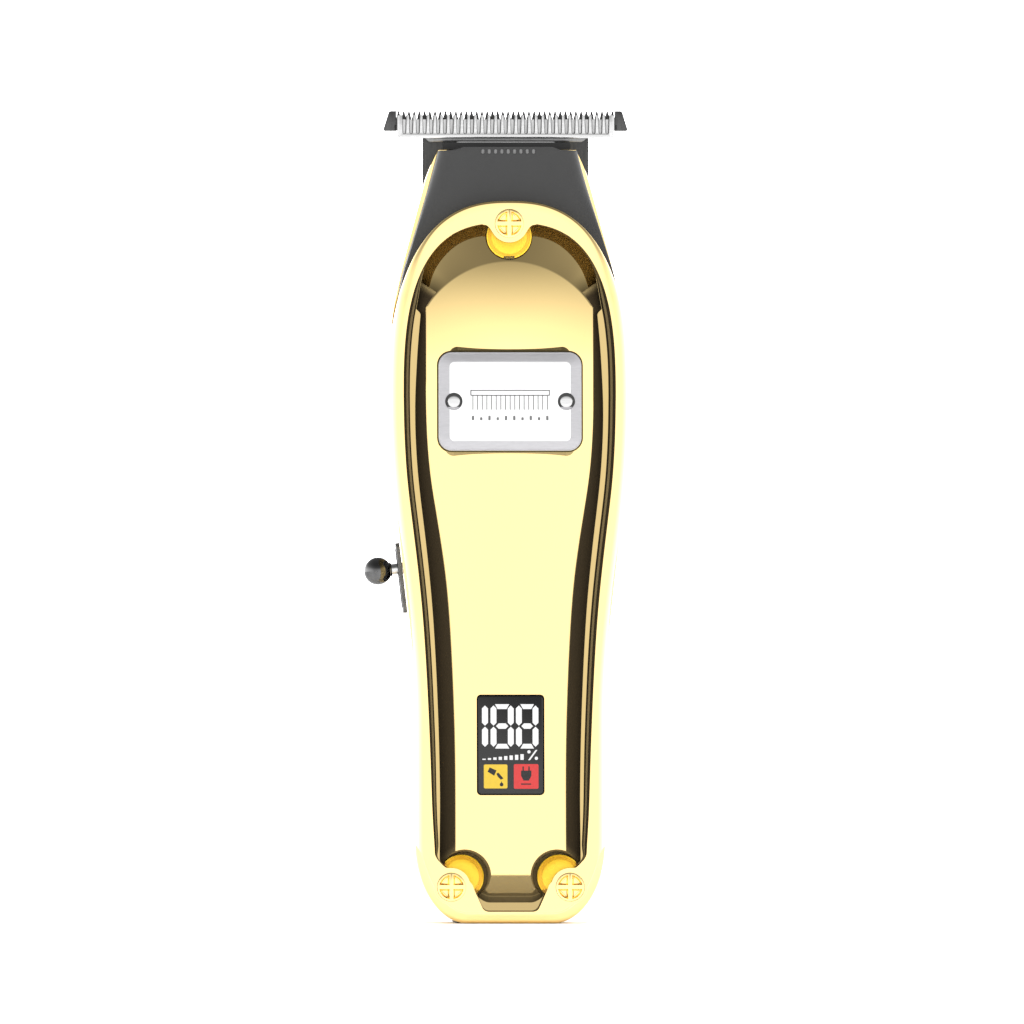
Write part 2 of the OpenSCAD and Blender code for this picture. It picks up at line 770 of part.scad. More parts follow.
module cover_screws() {
    color(gold) front_frame() for (at = screw_at) difference() {
        union() {
            pin_y([at.x, along(at.y)], 0, screw_head_t, screw_head_r);
            pin_y([at.x, along(at.y)], screw_head_t - 0.1, screw_head_t + screw_shank_l, screw_shank_r);
        }
        // Four pockets that leave a raised cross
        for (x = [-1, 1], z = [-1, 1]) translate([at.x, -0.01, along(at.y)]) slab(-0.4, 0.5) intersection() {
            circle(2.1);
            translate([x * 1.55, z * 1.55]) square(2.5, center = true);
        }
    }
}

module screw_collars() {
    color("#ffd92e") front_frame() for (i = [0:2]) difference() {
        union() for (step = [0:2])
            pin_y([collar_at[i].x, along(collar_at[i].y)], groove_d - 0.5 - 0.3 * step, groove_d,
                collar_r - 0.6 * step);
        pin_y([screw_at[i].x, along(screw_at[i].y)], -1, 4, lobe_r + fit);
    }
}

front_cover();
rear_cover();
chassis();
head_housing();
base_cap();
fixed_blade();
blade_screws();
cutter_blade();
cutter_drive();
cutter_spring();
eccentric();
motor_shaft();
armature();
commutator();
motor_can();
motor_magnets();
motor_end_cap();
motor_bushes();
motor_brushes();
motor_leads();
battery_cell();
battery_tabs();
battery_leads();
control_board();
display_module();
display_window();
charge_socket();
switch_contacts();
switch_slider();
switch_ball();
switch_plate();
badge_plate();
badge_rivets();
cover_screws();
screw_collars();
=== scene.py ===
"""Looks of a cordless T-blade hair trimmer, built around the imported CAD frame.

Lengths in the shape functions are millimetres and are turned into metres when a mesh is made.
Heights run up Z from the flat base, the front face looks towards -Y.
"""
import json
import math

import bmesh
import bpy
import numpy as np
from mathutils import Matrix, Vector


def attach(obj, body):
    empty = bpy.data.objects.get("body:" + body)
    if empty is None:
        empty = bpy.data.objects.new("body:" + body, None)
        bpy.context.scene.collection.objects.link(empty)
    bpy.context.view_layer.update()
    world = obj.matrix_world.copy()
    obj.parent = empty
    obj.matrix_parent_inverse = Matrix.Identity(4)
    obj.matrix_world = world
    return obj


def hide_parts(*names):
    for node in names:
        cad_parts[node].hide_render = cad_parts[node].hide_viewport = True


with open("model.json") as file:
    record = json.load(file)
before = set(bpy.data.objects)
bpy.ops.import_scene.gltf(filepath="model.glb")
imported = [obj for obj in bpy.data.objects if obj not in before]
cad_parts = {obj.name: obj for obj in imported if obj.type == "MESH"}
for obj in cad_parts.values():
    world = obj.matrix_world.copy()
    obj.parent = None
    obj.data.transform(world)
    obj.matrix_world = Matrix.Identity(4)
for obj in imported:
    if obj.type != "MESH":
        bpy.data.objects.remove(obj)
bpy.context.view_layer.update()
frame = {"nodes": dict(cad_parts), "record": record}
MM = 0.001
SLOT_OF = {part["node"]: part["material_slot"] for part in frame["record"]["subparts"]}


# ---------------------------------------------------------------- camera, light and floor

CAMERA_YAW = math.radians(-2.4)
CAMERA_DISTANCE = 6.0
CAMERA_TARGET = Vector((0.0009, 0.0, 0.0707))
CAMERA_LENS = 1225.0
SKY = 3.6


def set_camera():
    """The camera stands level with the middle of the trimmer, a little to its left."""
    cam_data = bpy.data.cameras.new("camera")
    cam_data.lens = CAMERA_LENS
    cam_data.sensor_width = 36.0
    cam_data.clip_start = 0.05
    cam_data.clip_end = 30.0
    cam = bpy.data.objects.new("camera", cam_data)
    bpy.context.scene.collection.objects.link(cam)
    back = Vector((math.sin(CAMERA_YAW), -math.cos(CAMERA_YAW), 0.0))
    cam.location = CAMERA_TARGET + back * CAMERA_DISTANCE
    cam.rotation_euler = (math.radians(90), 0.0, CAMERA_YAW)
    bpy.context.scene.camera = cam


def world_ramp(tree, value, stops):
    """A colour ramp over a direction's component, which runs from -1 to 1."""
    place = tree.nodes.new("ShaderNodeMapRange")
    place.inputs["From Min"].default_value = -1
    tree.links.new(value, place.inputs["Value"])
    ramp = tree.nodes.new("ShaderNodeValToRGB")
    elements = ramp.color_ramp.elements
    while len(elements) < len(stops):
        elements.new(0.5)
    for element, (at, level) in zip(elements, stops):
        element.position = (at + 1) / 2
        element.color = (level, level, level, 1)
    tree.links.new(place.outputs["Result"], ramp.inputs["Fac"])
    return ramp.outputs["Color"]


def set_world():
    """A white studio: bright round the horizon, brightest behind the sides, dark overhead."""
    world = bpy.data.worlds.new("studio")
    bpy.context.scene.world = world
    world.use_nodes = True
    tree = world.node_tree
    coords = tree.nodes.new("ShaderNodeTexCoord")
    split = tree.nodes.new("ShaderNodeSeparateXYZ")
    tree.links.new(coords.outputs["Generated"], split.inputs[0])
    height = world_ramp(tree, split.outputs["Z"],
                        ((0.10, 1.0), (0.21, 0.80), (0.44, 0.27), (0.66, 0.125), (0.87, 0.075)))
    depth = world_ramp(tree, split.outputs["Y"],
                       ((-0.84, 0.458), (-0.31, 0.7), (0.3, 1.0), (0.95, 0.95)))
    level = tree.nodes.new("ShaderNodeMix")
    level.data_type, level.blend_type = "RGBA", "MULTIPLY"
    level.inputs["Factor"].default_value = 1
    tree.links.new(height, level.inputs["A"])
    tree.links.new(depth, level.inputs["B"])
    tree.links.new(level.outputs["Result"], tree.nodes["Background"].inputs["Color"])
    tree.nodes["Background"].inputs["Strength"].default_value = SKY


def set_lights():
    """An overhead panel that lights matt surfaces and leaves the plating's reflections alone."""
    set_world()
    data = bpy.data.lights.new("overhead", "AREA")
    data.shape = "RECTANGLE"
    data.size = data.size_y = 3.0
    data.energy = 80
    light = bpy.data.objects.new("overhead", data)
    bpy.context.scene.collection.objects.link(light)
    light.location = (0, -0.6, 1.7)
    light.visible_glossy = False
    bpy.context.scene.view_settings.view_transform = "Standard"
    bpy.context.scene.view_settings.look = "None"


def make_floor():
    """A matt white floor under the trimmer, for the pictures only."""
    mesh = bpy.data.meshes.new("floor")
    bm = bmesh.new()
    bmesh.ops.create_grid(bm, x_segments=4, y_segments=4, size=0.8)
    bm.to_mesh(mesh)
    bm.free()
    floor = bpy.data.objects.new("floor", mesh)
    bpy.context.scene.collection.objects.link(floor)
    paint = Material("floor_paint", (0.93, 0.93, 0.93), roughness=0.8)
    paint.shader.inputs["Specular IOR Level"].default_value = 0.1
    paint.bump_from(paint.noise(60.0), 0.02, 0.0001)
    mesh.materials.append(paint.mat)


# ---------------------------------------------------------------- materials

def as_color(value):
    """A colour as it is, or a number as a grey."""
    return value if isinstance(value, tuple) else (value,) * 3


class Material:
    """A node material, with short ways to add the nodes that its surface needs."""

    def __init__(self, name, color, metallic=0.0, roughness=0.5, **sockets):
        color = as_color(color)
        self.mat = bpy.data.materials.new(name)
        self.mat.use_nodes = True
        self.tree = self.mat.node_tree
        self.shader = self.tree.nodes["Principled BSDF"]
        self.shader.inputs["Base Color"].default_value = (*color, 1)
        self.shader.inputs["Metallic"].default_value = metallic
        self.shader.inputs["Roughness"].default_value = roughness
        for socket, value in sockets.items():
            self.shader.inputs[socket.replace("_", " ")].default_value = value
        self.mat.diffuse_color = (*color, 1)

    def link(self, out, into):
        self.tree.links.new(out, into)

    def noise(self, scale, detail=3.0, stretch=(1, 1, 1)):
        coords = self.tree.nodes.new("ShaderNodeTexCoord")
        mapping = self.tree.nodes.new("ShaderNodeMapping")
        mapping.inputs["Scale"].default_value = stretch
        noise = self.tree.nodes.new("ShaderNodeTexNoise")
        noise.inputs["Scale"].default_value = scale
        noise.inputs["Detail"].default_value = detail
        self.link(coords.outputs["Object"], mapping.inputs["Vector"])
        self.link(mapping.outputs["Vector"], noise.inputs["Vector"])
        return noise.outputs["Fac"]

    def ramp(self, value, low, high, start=0.3, end=0.7):
        """A ramp from one grey or colour to another."""
        ramp = self.tree.nodes.new("ShaderNodeValToRGB")
        for element, at, color in zip(ramp.color_ramp.elements, (start, end), (low, high)):
            element.position = at
            element.color = (*as_color(color), 1)
        self.link(value, ramp.inputs["Fac"])
        return ramp.outputs["Color"]

    def color_from(self, value, low, high, start=0.3, end=0.7):
        self.link(self.ramp(value, low, high, start, end), self.shader.inputs["Base Color"])

    def rough_from(self, value, low, high, start=0.3, end=0.7):
        self.link(self.ramp(value, low, high, start, end), self.shader.inputs["Roughness"])

    def bump_from(self, value, strength, distance):
        bump = self.tree.nodes.new("ShaderNodeBump")
        bump.inputs["Strength"].default_value = strength
        bump.inputs["Distance"].default_value = distance
        self.link(value, bump.inputs["Height"])
        self.link(bump.outputs["Normal"], self.shader.inputs["Normal"])


def plated_gold(name, color, dark):
    """Mirror plating with faint handling marks; a face attribute of painted shade darkens it in its grooves
    and recesses.
    """
    m = Material(name, color, metallic=1.0, roughness=0.05, Specular_IOR_Level=0.0)
    m.rough_from(m.noise(55.0, 4.0, (1, 1, 0.6)), 0.045, 0.11, 0.45, 0.95)
    # Painted shade: the base colour runs to the dark colour where the mesh's face values mark a groove or
    # recess
    painted_shade = m.tree.nodes.new("ShaderNodeAttribute")
    painted_shade.attribute_name = "painted_shade"
    painted_shading = m.tree.nodes.new("ShaderNodeMix")
    painted_shading.data_type = "RGBA"
    m.link(painted_shade.outputs["Fac"], painted_shading.inputs["Factor"])
    m.link(m.ramp(m.noise(9.0, 2.0), tuple(0.985 * c for c in color), color), painted_shading.inputs["A"])
    painted_shading.inputs["B"].default_value = (*dark, 1)
    m.link(painted_shading.outputs["Result"], m.shader.inputs["Base Color"])
    # The parts with the most painted shade are matt, so that they don't mirror each other
    bright = m.tree.nodes.new("ShaderNodeMapRange")
    for socket, value in (("From Min", 0.7), ("From Max", 0.8), ("To Min", 1.0), ("To Max", 0.0)):
        bright.inputs[socket].default_value = value
    m.link(painted_shade.outputs["Fac"], bright.inputs["Value"])
    m.link(bright.outputs["Result"], m.shader.inputs["Metallic"])
    m.bump_from(m.noise(700.0, 2.0), 0.015, 0.00001)
    return m.mat


def collar_gold(name):
    """Bright yellow gold with painted light and shade: face values run from yellow, over orange, to a dark
    brown painted shade.
    """
    m = Material(name, (1.0, 0.8, 0.1), metallic=0.3, roughness=0.3)
    painted_shading = m.tree.nodes.new("ShaderNodeAttribute")
    painted_shading.attribute_name = "painted_shading"
    ramp = m.tree.nodes.new("ShaderNodeValToRGB")
    ramp.color_ramp.elements.new(0.5)
    colors = ((0.92, 0.58, 0.03), (0.72, 0.36, 0.01), (0.16, 0.07, 0.01))
    for element, color in zip(ramp.color_ramp.elements, colors):
        element.color = (*color, 1)
    ramp.color_ramp.elements[2].position = 1.0
    m.link(painted_shading.outputs["Fac"], ramp.inputs["Fac"])
    m.link(ramp.outputs["Color"], m.shader.inputs["Base Color"])
    m.rough_from(m.noise(200.0), 0.25, 0.4)
    m.bump_from(m.noise(900.0), 0.02, 0.00001)
    return m.mat


def moulded(name, low, high, rough=(0.42, 0.6), bump=0.12, specular=0.5):
    """Moulded plastic with a fine grain."""
    m = Material(name, low, roughness=rough[0], Specular_IOR_Level=specular)
    m.color_from(m.noise(40.0, 4.0), low, high)
    m.rough_from(m.noise(120.0, 3.0), rough[0], rough[1])
    m.bump_from(m.noise(1500.0, 2.0), bump, 0.00004)
    return m.mat


def metal(name, low, high, rough, brush=(1, 1, 1), metallic=1.0, bump=0.05):
    """Machined, brushed or polished metal; brush stretches its grain."""
    m = Material(name, high, metallic=metallic, roughness=rough[0])
    grain = m.noise(700.0, 3.0, brush)
    m.color_from(grain, low, high)
    m.rough_from(m.noise(220.0, 3.0, brush), rough[0], rough[1])
    m.bump_from(grain, bump, 0.00001)
    return m.mat


def lit(name, color, strength):
    """A lit figure or icon of the display, with a faint falloff between its cells."""
    m = Material(name, 0.02, roughness=0.4, Emission_Strength=strength)
    glow = m.ramp(m.noise(1800.0, 1.0), tuple(0.94 * c for c in color), color)
    m.link(glow, m.shader.inputs["Emission Color"])
    m.rough_from(m.noise(300.0), 0.35, 0.45)
    return m.mat


# Each row: kind, name and what the kind takes
MATERIALS = (
    # The next row's second colour is the painted shade of the plating's grooves and recesses
    (plated_gold, "gold_plate", (1.0, 0.75, 0.33), (0.034, 0.025, 0.014)),
    (collar_gold, "collar_gold"),
    (moulded, "dark_plastic", 0.034, 0.040, (0.42, 0.52), 0.12, 0.3),
    (moulded, "black_plastic", 0.008, 0.012, (0.45, 0.6)),
    (metal, "black_steel", 0.035, 0.05, (0.3, 0.42), (4, 4, 0.4), 0.6),
    (metal, "chrome_steel", 0.52, 0.58, (0.06, 0.14), (0.3, 6, 6)),
    (metal, "ground_steel", 0.42, 0.55, (0.25, 0.38), (8, 8, 0.5)),
    (metal, "steel", 0.55, 0.68, (0.2, 0.34)),
    (metal, "dark_chrome", 0.10, 0.14, (0.05, 0.12)),
    (metal, "badge_bevel", (0.42, 0.415, 0.43), (0.46, 0.455, 0.47), (0.35, 0.45), (1, 1, 6), 0.7, 0.01),
    # The next row is a painted shadow line under the badge
    (metal, "pad_gold", (0.06, 0.05, 0.02), (0.08, 0.065, 0.028), (0.3, 0.4)),
    (moulded, "gasket", 0.004, 0.006, (0.42, 0.6), 0.12, 0.08),
    (metal, "surround_grey", 0.10, 0.13, (0.35, 0.45), (1, 1, 1), 0.7),
    (metal, "bevel_steel", 0.20, 0.27, (0.3, 0.4), (8, 1, 0.5)),
    (metal, "badge_steel", 0.80, 0.84, (0.3, 0.36), (0.4, 1, 8), 0.5, 0.005),
    (moulded, "engraving", 0.10, 0.14, (0.5, 0.7)),
    # The next row is painted shade for the rivets' counterbores and the notch's ribs
    (moulded, "dark_seat", 0.03, 0.04, (0.5, 0.7)),
    (metal, "motor_steel", 0.50, 0.60, (0.25, 0.4), (6, 6, 0.5)),
    (metal, "magnet", 0.06, 0.09, (0.5, 0.7), (1, 1, 1), 0.3, 0.4),
    (metal, "copper", (0.72, 0.25, 0.10), (0.86, 0.36, 0.16), (0.2, 0.35), (1, 1, 20)),
    (metal, "bronze", (0.48, 0.30, 0.12), (0.58, 0.38, 0.17), (0.3, 0.45), (1, 1, 1), 1.0, 0.2),
    (moulded, "white_plastic", 0.70, 0.78),
    (moulded, "cell_wrap", (0.03, 0.13, 0.36), (0.04, 0.17, 0.44), (0.25, 0.35)),
    (moulded, "lead_wire", (0.45, 0.02, 0.02), (0.55, 0.03, 0.03), (0.4, 0.5)),
    (moulded, "board", (0.01, 0.12, 0.04), (0.015, 0.16, 0.06), (0.3, 0.45)),
    (moulded, "smoked_window", 0.004, 0.006, (0.08, 0.12), 0.01),
    (lit, "led_block", (1.0, 1.0, 1.0), 1.0),
    (lit, "led_yellow", (0.92, 0.62, 0.01), 1.0),
    (lit, "led_red", (0.78, 0.012, 0.01), 1.0),
    (moulded, "rib_plastic", 0.12, 0.15, (0.35, 0.5)),
    # Dark steel of the wings, also the painted shadow behind the comb's teeth
    (metal, "wing_steel", 0.07, 0.085, (0.28, 0.4), (4, 4, 0.4)),
    (metal, "cutter_steel", 0.53, 0.60, (0.15, 0.25), (0.3, 6, 6)),
)


# ---------------------------------------------------------------- shape of the body, in mm

FOOT_HW, FOOT_H, WAIST_HW, WAIST_Z = 7.2, 14.0, 16.35, 34.0
HEAD_HW, BULGE_Z, COVER_H, HEAD_POW = 20.65, 90.0, 124.2, 2.5
FRONT_BASE, FRONT_TILT, EDGE_R, WALL = 17.2, math.radians(3.05), 1.8, 1.4
OPENING_HW, OPENING_H, OPENING_POW = 18.25, 30.4, 2.8
PANEL_HEAD_HW, PANEL_BOTTOM, PANEL_TOP, PANEL_SIDE_TOP = 14.35, 8.44, 113.8, 105.8
REAR_DEPTH, HEAD_DEPTH, REAR_POW, BASE_HALF = 16.5, 5.9, 2.6, 9.5
NECK_TOP, NECK_HW, PART_FRONT_Y, PART_REAR_Y, NECK_LOW = 133.0, 11.9, -3.3, -2.7, 97.0
SEAT_Y, BLADE_Y = 5.0, 5.05
BLADE_SCREW_X, BLADE_SCREW_Z = (-7.5, 7.5), 114.0
SCREW_HEAD_R, SCREW_SEAT_R, RIVET_SEAT_R = 2.45, 2.5, 1.49
QUARTER = math.pi / 2
SCREW_AT = ((0.0, 120.3), (-10.2, 6.3), (10.2, 6.3))
COLLAR_AT = ((0.0, 118.1), (-8.4, 8.05), (8.4, 8.05))
WELL_AT = ((0.0, 118.1), (-8.0, 8.2), (8.0, 8.2))
LOBE_R = 3.25
BADGE_W, BADGE_H, BADGE_Z, RIVET_X = 24.6, 16.94, 89.7, 9.67
WINDOW_W, WINDOW_H, WINDOW_Z, WINDOW_D = 11.65, 17.3, 30.7, -0.12
BALL_R, SWITCH_Z, PLATE_L, SWITCH_Y, TRAVEL = 2.4, 59.35, 12.1, -1.0, 3.5
SOCKET_Y, BASE_HW, BASE_T = -4.5, 9.1, 1.6
SPINE_LOW, SPINE_HIGH = 22.0, 100.0


def smooth_table(heights, values, spread=2.5):
    """Values along the height, read off a table and rounded between its points."""
    z = np.linspace(-10, 140, 601)
    v = np.interp(z, heights, values)
    kernel = np.exp(-0.5 * (np.arange(-40, 41) * 0.25 / spread) ** 2)
    padded = np.concatenate([np.full(40, v[0]), v, np.full(40, v[-1])])
    return z, np.convolve(padded, kernel / kernel.sum(), mode="valid")


GROOVE_Z = (12, 16, 20, 25, 30, 35, 40, 45, 50, 55, 60, 65, 70, 75, 78, 84, 90)
RIM_TABLE = smooth_table(GROOVE_Z, (12.95, 13.29, 13.5, 13.64, 13.81, 14.01, 14.24, 14.5, 14.81,
                                    15.21, 15.72, 16.3, 16.93, 17.55, 17.82, 18.15, 18.25))
PANEL_TABLE = smooth_table(GROOVE_Z, (9.42, 9.4, 9.4, 9.4, 9.44, 9.55, 9.72, 9.92, 10.18, 10.51,
                                      10.98, 11.69, 12.5, 13.33, 13.75, 14.2, 14.35))
FOOT_TABLE = smooth_table((16, 20, 30, 40, 50, 60, 70, 78, 90, 100, 106, 113),
                          (2.7, 2.6, 2.72, 2.76, 2.8, 2.8, 2.4, 2.05, 1.85, 1.3, 0.7, 0.2))
WALL_TABLE = smooth_table((8, 12, 20, 30, 45, 100, 107, 113.5),
                          (0.6, 0.78, 0.88, 1.03, 1.1, 1.17, 1.05, 0.12), 1.0)


def mix(a, b, s):
    return a + (b - a) * s


def ease(z, low, high):
    return (1 - np.cos(np.pi * np.clip((np.asarray(z, float) - low) / (high - low), 0, 1))) / 2


def arch(t, p):
    return np.maximum(0, 1 - np.power(np.abs(t), p)) ** (1 / p)


def body_hw(z):
    z = np.asarray(z, float)
    foot = mix(FOOT_HW, WAIST_HW, arch(np.clip((FOOT_H - z) / FOOT_H, 0, 1), 2))
    side = mix(WAIST_HW, HEAD_HW, ease(z, WAIST_Z, BULGE_Z))
    head = HEAD_HW * arch(np.clip((z - BULGE_Z) / (COVER_H - BULGE_Z), 0, 1), HEAD_POW)
    return np.where(z < FOOT_H, foot, np.where(z < BULGE_Z, side, head))


def neck_line(z):
    return NECK_HW + 7.1 * (np.maximum(0, (NECK_TOP - z)) / 24) ** 1.08


def shoulder_line(z):
    return 19.3 + (109 - z) * 0.27 - 0.8 * (np.maximum(0, z - 127) / 6) ** 2


def neck_w(z):
    return mix(body_hw(z) - 0.25, neck_line(z), ease(z, 98, 112))


def rear_w(z):
    return mix(body_hw(z), shoulder_line(z), ease(z, 98, 114))


def front_y(z):
    return -FRONT_BASE + math.tan(FRONT_TILT) * z


def part_y(z):
    return mix(PART_FRONT_Y, -8.3 + 0.092 * (z - 108), ease(z, 96, 112))


def rear_part_y(z):
    return mix(PART_REAR_Y, -1, ease(z, 104, 130))


def rear_y(z):
    foot = mix(BASE_HALF + 1.4, REAR_DEPTH, arch(np.clip((FOOT_H - z) / FOOT_H, 0, 1), 2))
    return np.where(z < FOOT_H, foot, mix(REAR_DEPTH, HEAD_DEPTH, ease(z, 86, 110)))


def smooth_max(a, b, k):
    h = np.clip(0.5 + 0.5 * (a - b) / k, 0, 1)
    return mix(b, a, h) + k * h * (1 - h)


def circle_distance(x, z, centres):
    return np.min([np.hypot(x - cx, z - cz) for cx, cz in centres], axis=0)


# Each of these is below zero towards the middle of the panel and above zero outside its line.

def beyond_outline(x, z):
    g = (np.abs(x) / HEAD_HW) ** HEAD_POW
    g = g + (np.maximum(0, z - BULGE_Z) / (COVER_H - BULGE_Z)) ** HEAD_POW
    head = (g ** (1 / HEAD_POW) - 1) * 20
    return np.where(z > BULGE_Z, head, np.maximum(np.abs(x) - body_hw(z), -z))


def beyond_opening(x, z):
    g = (np.abs(x) / OPENING_HW) ** OPENING_POW
    g = g + (np.maximum(0, z - BULGE_Z) / OPENING_H) ** OPENING_POW
    g = np.maximum(g, 1e-6) ** (1 / OPENING_POW)
    slope = 1 / np.hypot(OPENING_HW ** -1, 0.2 / OPENING_H)
    head = (g - 1) * np.where(np.abs(x) < 6, OPENING_H, mix(OPENING_H, slope, ease(np.abs(x), 6, 17)))
    x = np.abs(x)
    low = smooth_max(2.05 - z, x - 4.9 - 0.45 * (z - 2.7) - 1.5 * np.maximum(0, z - 6.5) ** 2, 0.9)
    tip = 9.4 + 0.55 * np.maximum(0, x - 10.6) ** 1.6 - z
    low = np.where(x > 10.2, np.maximum(low, tip), low)
    return np.where(z > BULGE_Z, head, smooth_max(x - np.interp(z, *RIM_TABLE), low, 0.5))


def wall_line(x, z):
    """The foot of the rim's inner wall: wide along the sides, narrow at both ends."""
    width = np.interp(z, *WALL_TABLE) * mix(0.3, 1, np.where(z > 60, 1.0, ease(z, 9.5, 14)))
    return beyond_opening(x, z) + width


def beyond_panel(x, z):
    rise = PANEL_TOP - PANEL_SIDE_TOP
    arc_r = (PANEL_HEAD_HW ** 2 + rise ** 2) / (2 * rise)
    top = np.hypot(x, z - (PANEL_TOP - arc_r)) - arc_r
    sides = np.maximum(np.abs(x) - np.interp(z, *PANEL_TABLE), PANEL_BOTTOM - z)
    return np.where(z > PANEL_TOP - arc_r, np.maximum(top, sides), sides)


def shoulder_line_in(x, z):
    """The foot of the panel's shoulder."""
    low = (1 - ease(z, 5, 15)) * (1 - ease(np.abs(x), 3.5, 8))
    width = np.interp(z, *FOOT_TABLE) + 2.1 * low
    width = np.where(z > 104, width + 14 * ease(z, 104.5, 111), width)
    return np.maximum(beyond_panel(x, z) - width, wall_line(x, z) + 0.03)


def floor_depth(z):
    return 2.6 + 0.5 * ease(z, 108, 118)


def panel_depth(x, z):
    """Depth of the raised panel below the front plane: crowned across, dipping towards the head."""
    crown = 0.45 * np.clip(np.abs(x) / np.interp(z, *PANEL_TABLE), 0, 1.2) ** 2 - 0.3
    rise = np.maximum(0, z - 97.02)
    reach = np.hypot(x, rise) + 1e-6
    dip = 0.0060 * np.maximum(0, reach - 2) ** 2 * (rise / reach) ** 1.5
    return crown + dip


# ---------------------------------------------------------------- mesh helpers

def new_object(name, verts, faces, mat, sharp=35.0):
    """An object from vertices in millimetres."""
    mesh = bpy.data.meshes.new(name)
    mesh.from_pydata((np.asarray(verts, float) * MM).tolist(), [], [list(f) for f in faces])
    mesh.validate()
    mesh.update()
    obj = bpy.data.objects.new(name, mesh)
    bpy.context.scene.collection.objects.link(obj)
    mesh.materials.append(mat)
    tidy_normals(obj)
    shade(obj, sharp)
    return obj


def tidy_normals(obj):
    bm = bmesh.new()
    bm.from_mesh(obj.data)
    bmesh.ops.recalc_face_normals(bm, faces=bm.faces)
    bm.to_mesh(obj.data)
    bm.free()


def shade(obj, sharp=35.0):
    """Smooth shading, with the edges above an angle kept crisp."""
    mesh = obj.data
    mesh.polygons.foreach_set("use_smooth", [True] * len(mesh.polygons))
    mesh.set_sharp_from_angle(angle=math.radians(sharp))
    mesh.update()


def join(name, parts):
    """One mesh from several pieces of the same material."""
    bm = bmesh.new()
    for part in parts:
        bm.from_mesh(part.data)
    mesh = bpy.data.meshes.new(name)
    bm.to_mesh(mesh)
    bm.free()
    mesh.materials.append(parts[0].data.materials[0])
    for part in parts:
        bpy.data.objects.remove(part)
    obj = bpy.data.objects.new(name, mesh)
    bpy.context.scene.collection.objects.link(obj)
    return obj


def apply_modifiers(obj):
    depsgraph = bpy.context.evaluated_depsgraph_get()
    mesh = bpy.data.meshes.new_from_object(obj.evaluated_get(depsgraph))
    obj.modifiers.clear()
    old = obj.data
    obj.data = mesh
    bpy.data.meshes.remove(old)


def cut(obj, cutters):
    """Cuts with each object in turn, and removes the cutters."""
    for cutter in cutters:
        mod = obj.modifiers.new("cut", "BOOLEAN")
        mod.operation = "DIFFERENCE"
        mod.solver = "EXACT"
        mod.object = cutter
        apply_modifiers(obj)
        bpy.data.objects.remove(cutter)
    while len(obj.data.materials) > 1:
        obj.data.materials.pop()


def skin(rings, caps=False):
    """Faces between closed rings of equal length, with both ends closed if wanted."""
    n = len(rings[0])
    verts = np.concatenate(rings)
    faces = []
    for k in range(len(rings) - 1):
        for i in range(n):
            j = (i + 1) % n
            faces.append((k * n + i, k * n + j, (k + 1) * n + j, (k + 1) * n + i))
    if caps:
        faces.append(tuple(range(n)))
        faces.append(tuple(range((len(rings) - 1) * n, len(rings) * n)))
    return verts, faces


def closed(name, rings, mat, sharp=35.0, place=None):
    """A closed solid between rings, its points moved by a function if one is named."""
    verts, faces = skin(rings, caps=True)
    return new_object(name, place(verts) if place else verts, faces, mat, sharp)


def offset(outline, d):
    """A closed outline moved outwards, square to itself; it runs counter-clockwise."""
    pts = np.asarray(outline, float)
    ahead = np.roll(pts, -1, axis=0) - pts
    ahead /= np.maximum(np.linalg.norm(ahead, axis=1, keepdims=True), 1e-9)
    normal = np.stack([ahead[:, 1], -ahead[:, 0]], axis=1)
    before = np.roll(normal, 1, axis=0)
    both = normal + before
    return pts + d * both / np.maximum(1 + np.sum(normal * before, axis=1, keepdims=True), 0.3)


def rounded(w, h, r, at=(0, 0), steps=8):
    """A rectangle with round corners, counter-clockwise."""
    pts = []
    for k, (sx, sz) in enumerate(((1, -1), (1, 1), (-1, 1), (-1, -1))):
        for i in range(steps + 1):
            a = math.radians(-90 + 90 * k + 90 * i / steps)
            pts.append((at[0] + sx * (w / 2 - r) + r * math.cos(a),
                        at[1] + sz * (h / 2 - r) + r * math.sin(a)))
    return np.array(pts)


def arc(x, z, rx, rz, start, end, n):
    """Points along an arc about a centre; a negative radius mirrors it."""
    return [(x + rx * math.cos(a), z + rz * math.sin(a)) for a in np.linspace(start, end, n)]


def circle(r, at=(0, 0), n=64):
    a = np.linspace(0, 2 * np.pi, n, endpoint=False)
    return np.stack([at[0] + r * np.cos(a), at[1] + r * np.sin(a)], axis=1)


def at_depth(outline, y):
    """An outline in X and Z as a ring at one Y, or at a Y for each point."""
    outline = np.asarray(outline, float)
    return np.stack([outline[:, 0], np.broadcast_to(y, len(outline)), outline[:, 1]], axis=1)


def lean(verts):
    """From depth below the leaning front plane to Y."""
    verts = np.array(verts, float)
    verts[:, 1] += front_y(verts[:, 2])
    return verts


def edged(outline, low, high, first, last, steps=3):
    """Rings of an outline with their levels from low to high, rounded by first and by last."""
    outline = np.asarray(outline, float)
    turns = [QUARTER * i / steps for i in range(steps + 1)]
    start, end = [(outline, low)], [(outline, high)]
    if first:
        start = [(offset(outline, first * (math.sin(a) - 1)), low + first * (1 - math.cos(a))) for a in turns]
    if last:
        end = [(offset(outline, last * (math.cos(a) - 1)), high - last * (1 - math.sin(a))) for a in turns]
    return start + end


def slab(name, outline, y0, y1, mat, bevel=0.0, back=0.0, leaning=False, sharp=35.0, steps=2):
    """A flat outline thickened along Y from y0 at the front to y1, its edges rounded by a bevel."""
    rings = [at_depth(ring, y) for ring, y in edged(outline, y0, y1, bevel, back, steps)]
    return closed(name, rings, mat, sharp, lean if leaning else None)


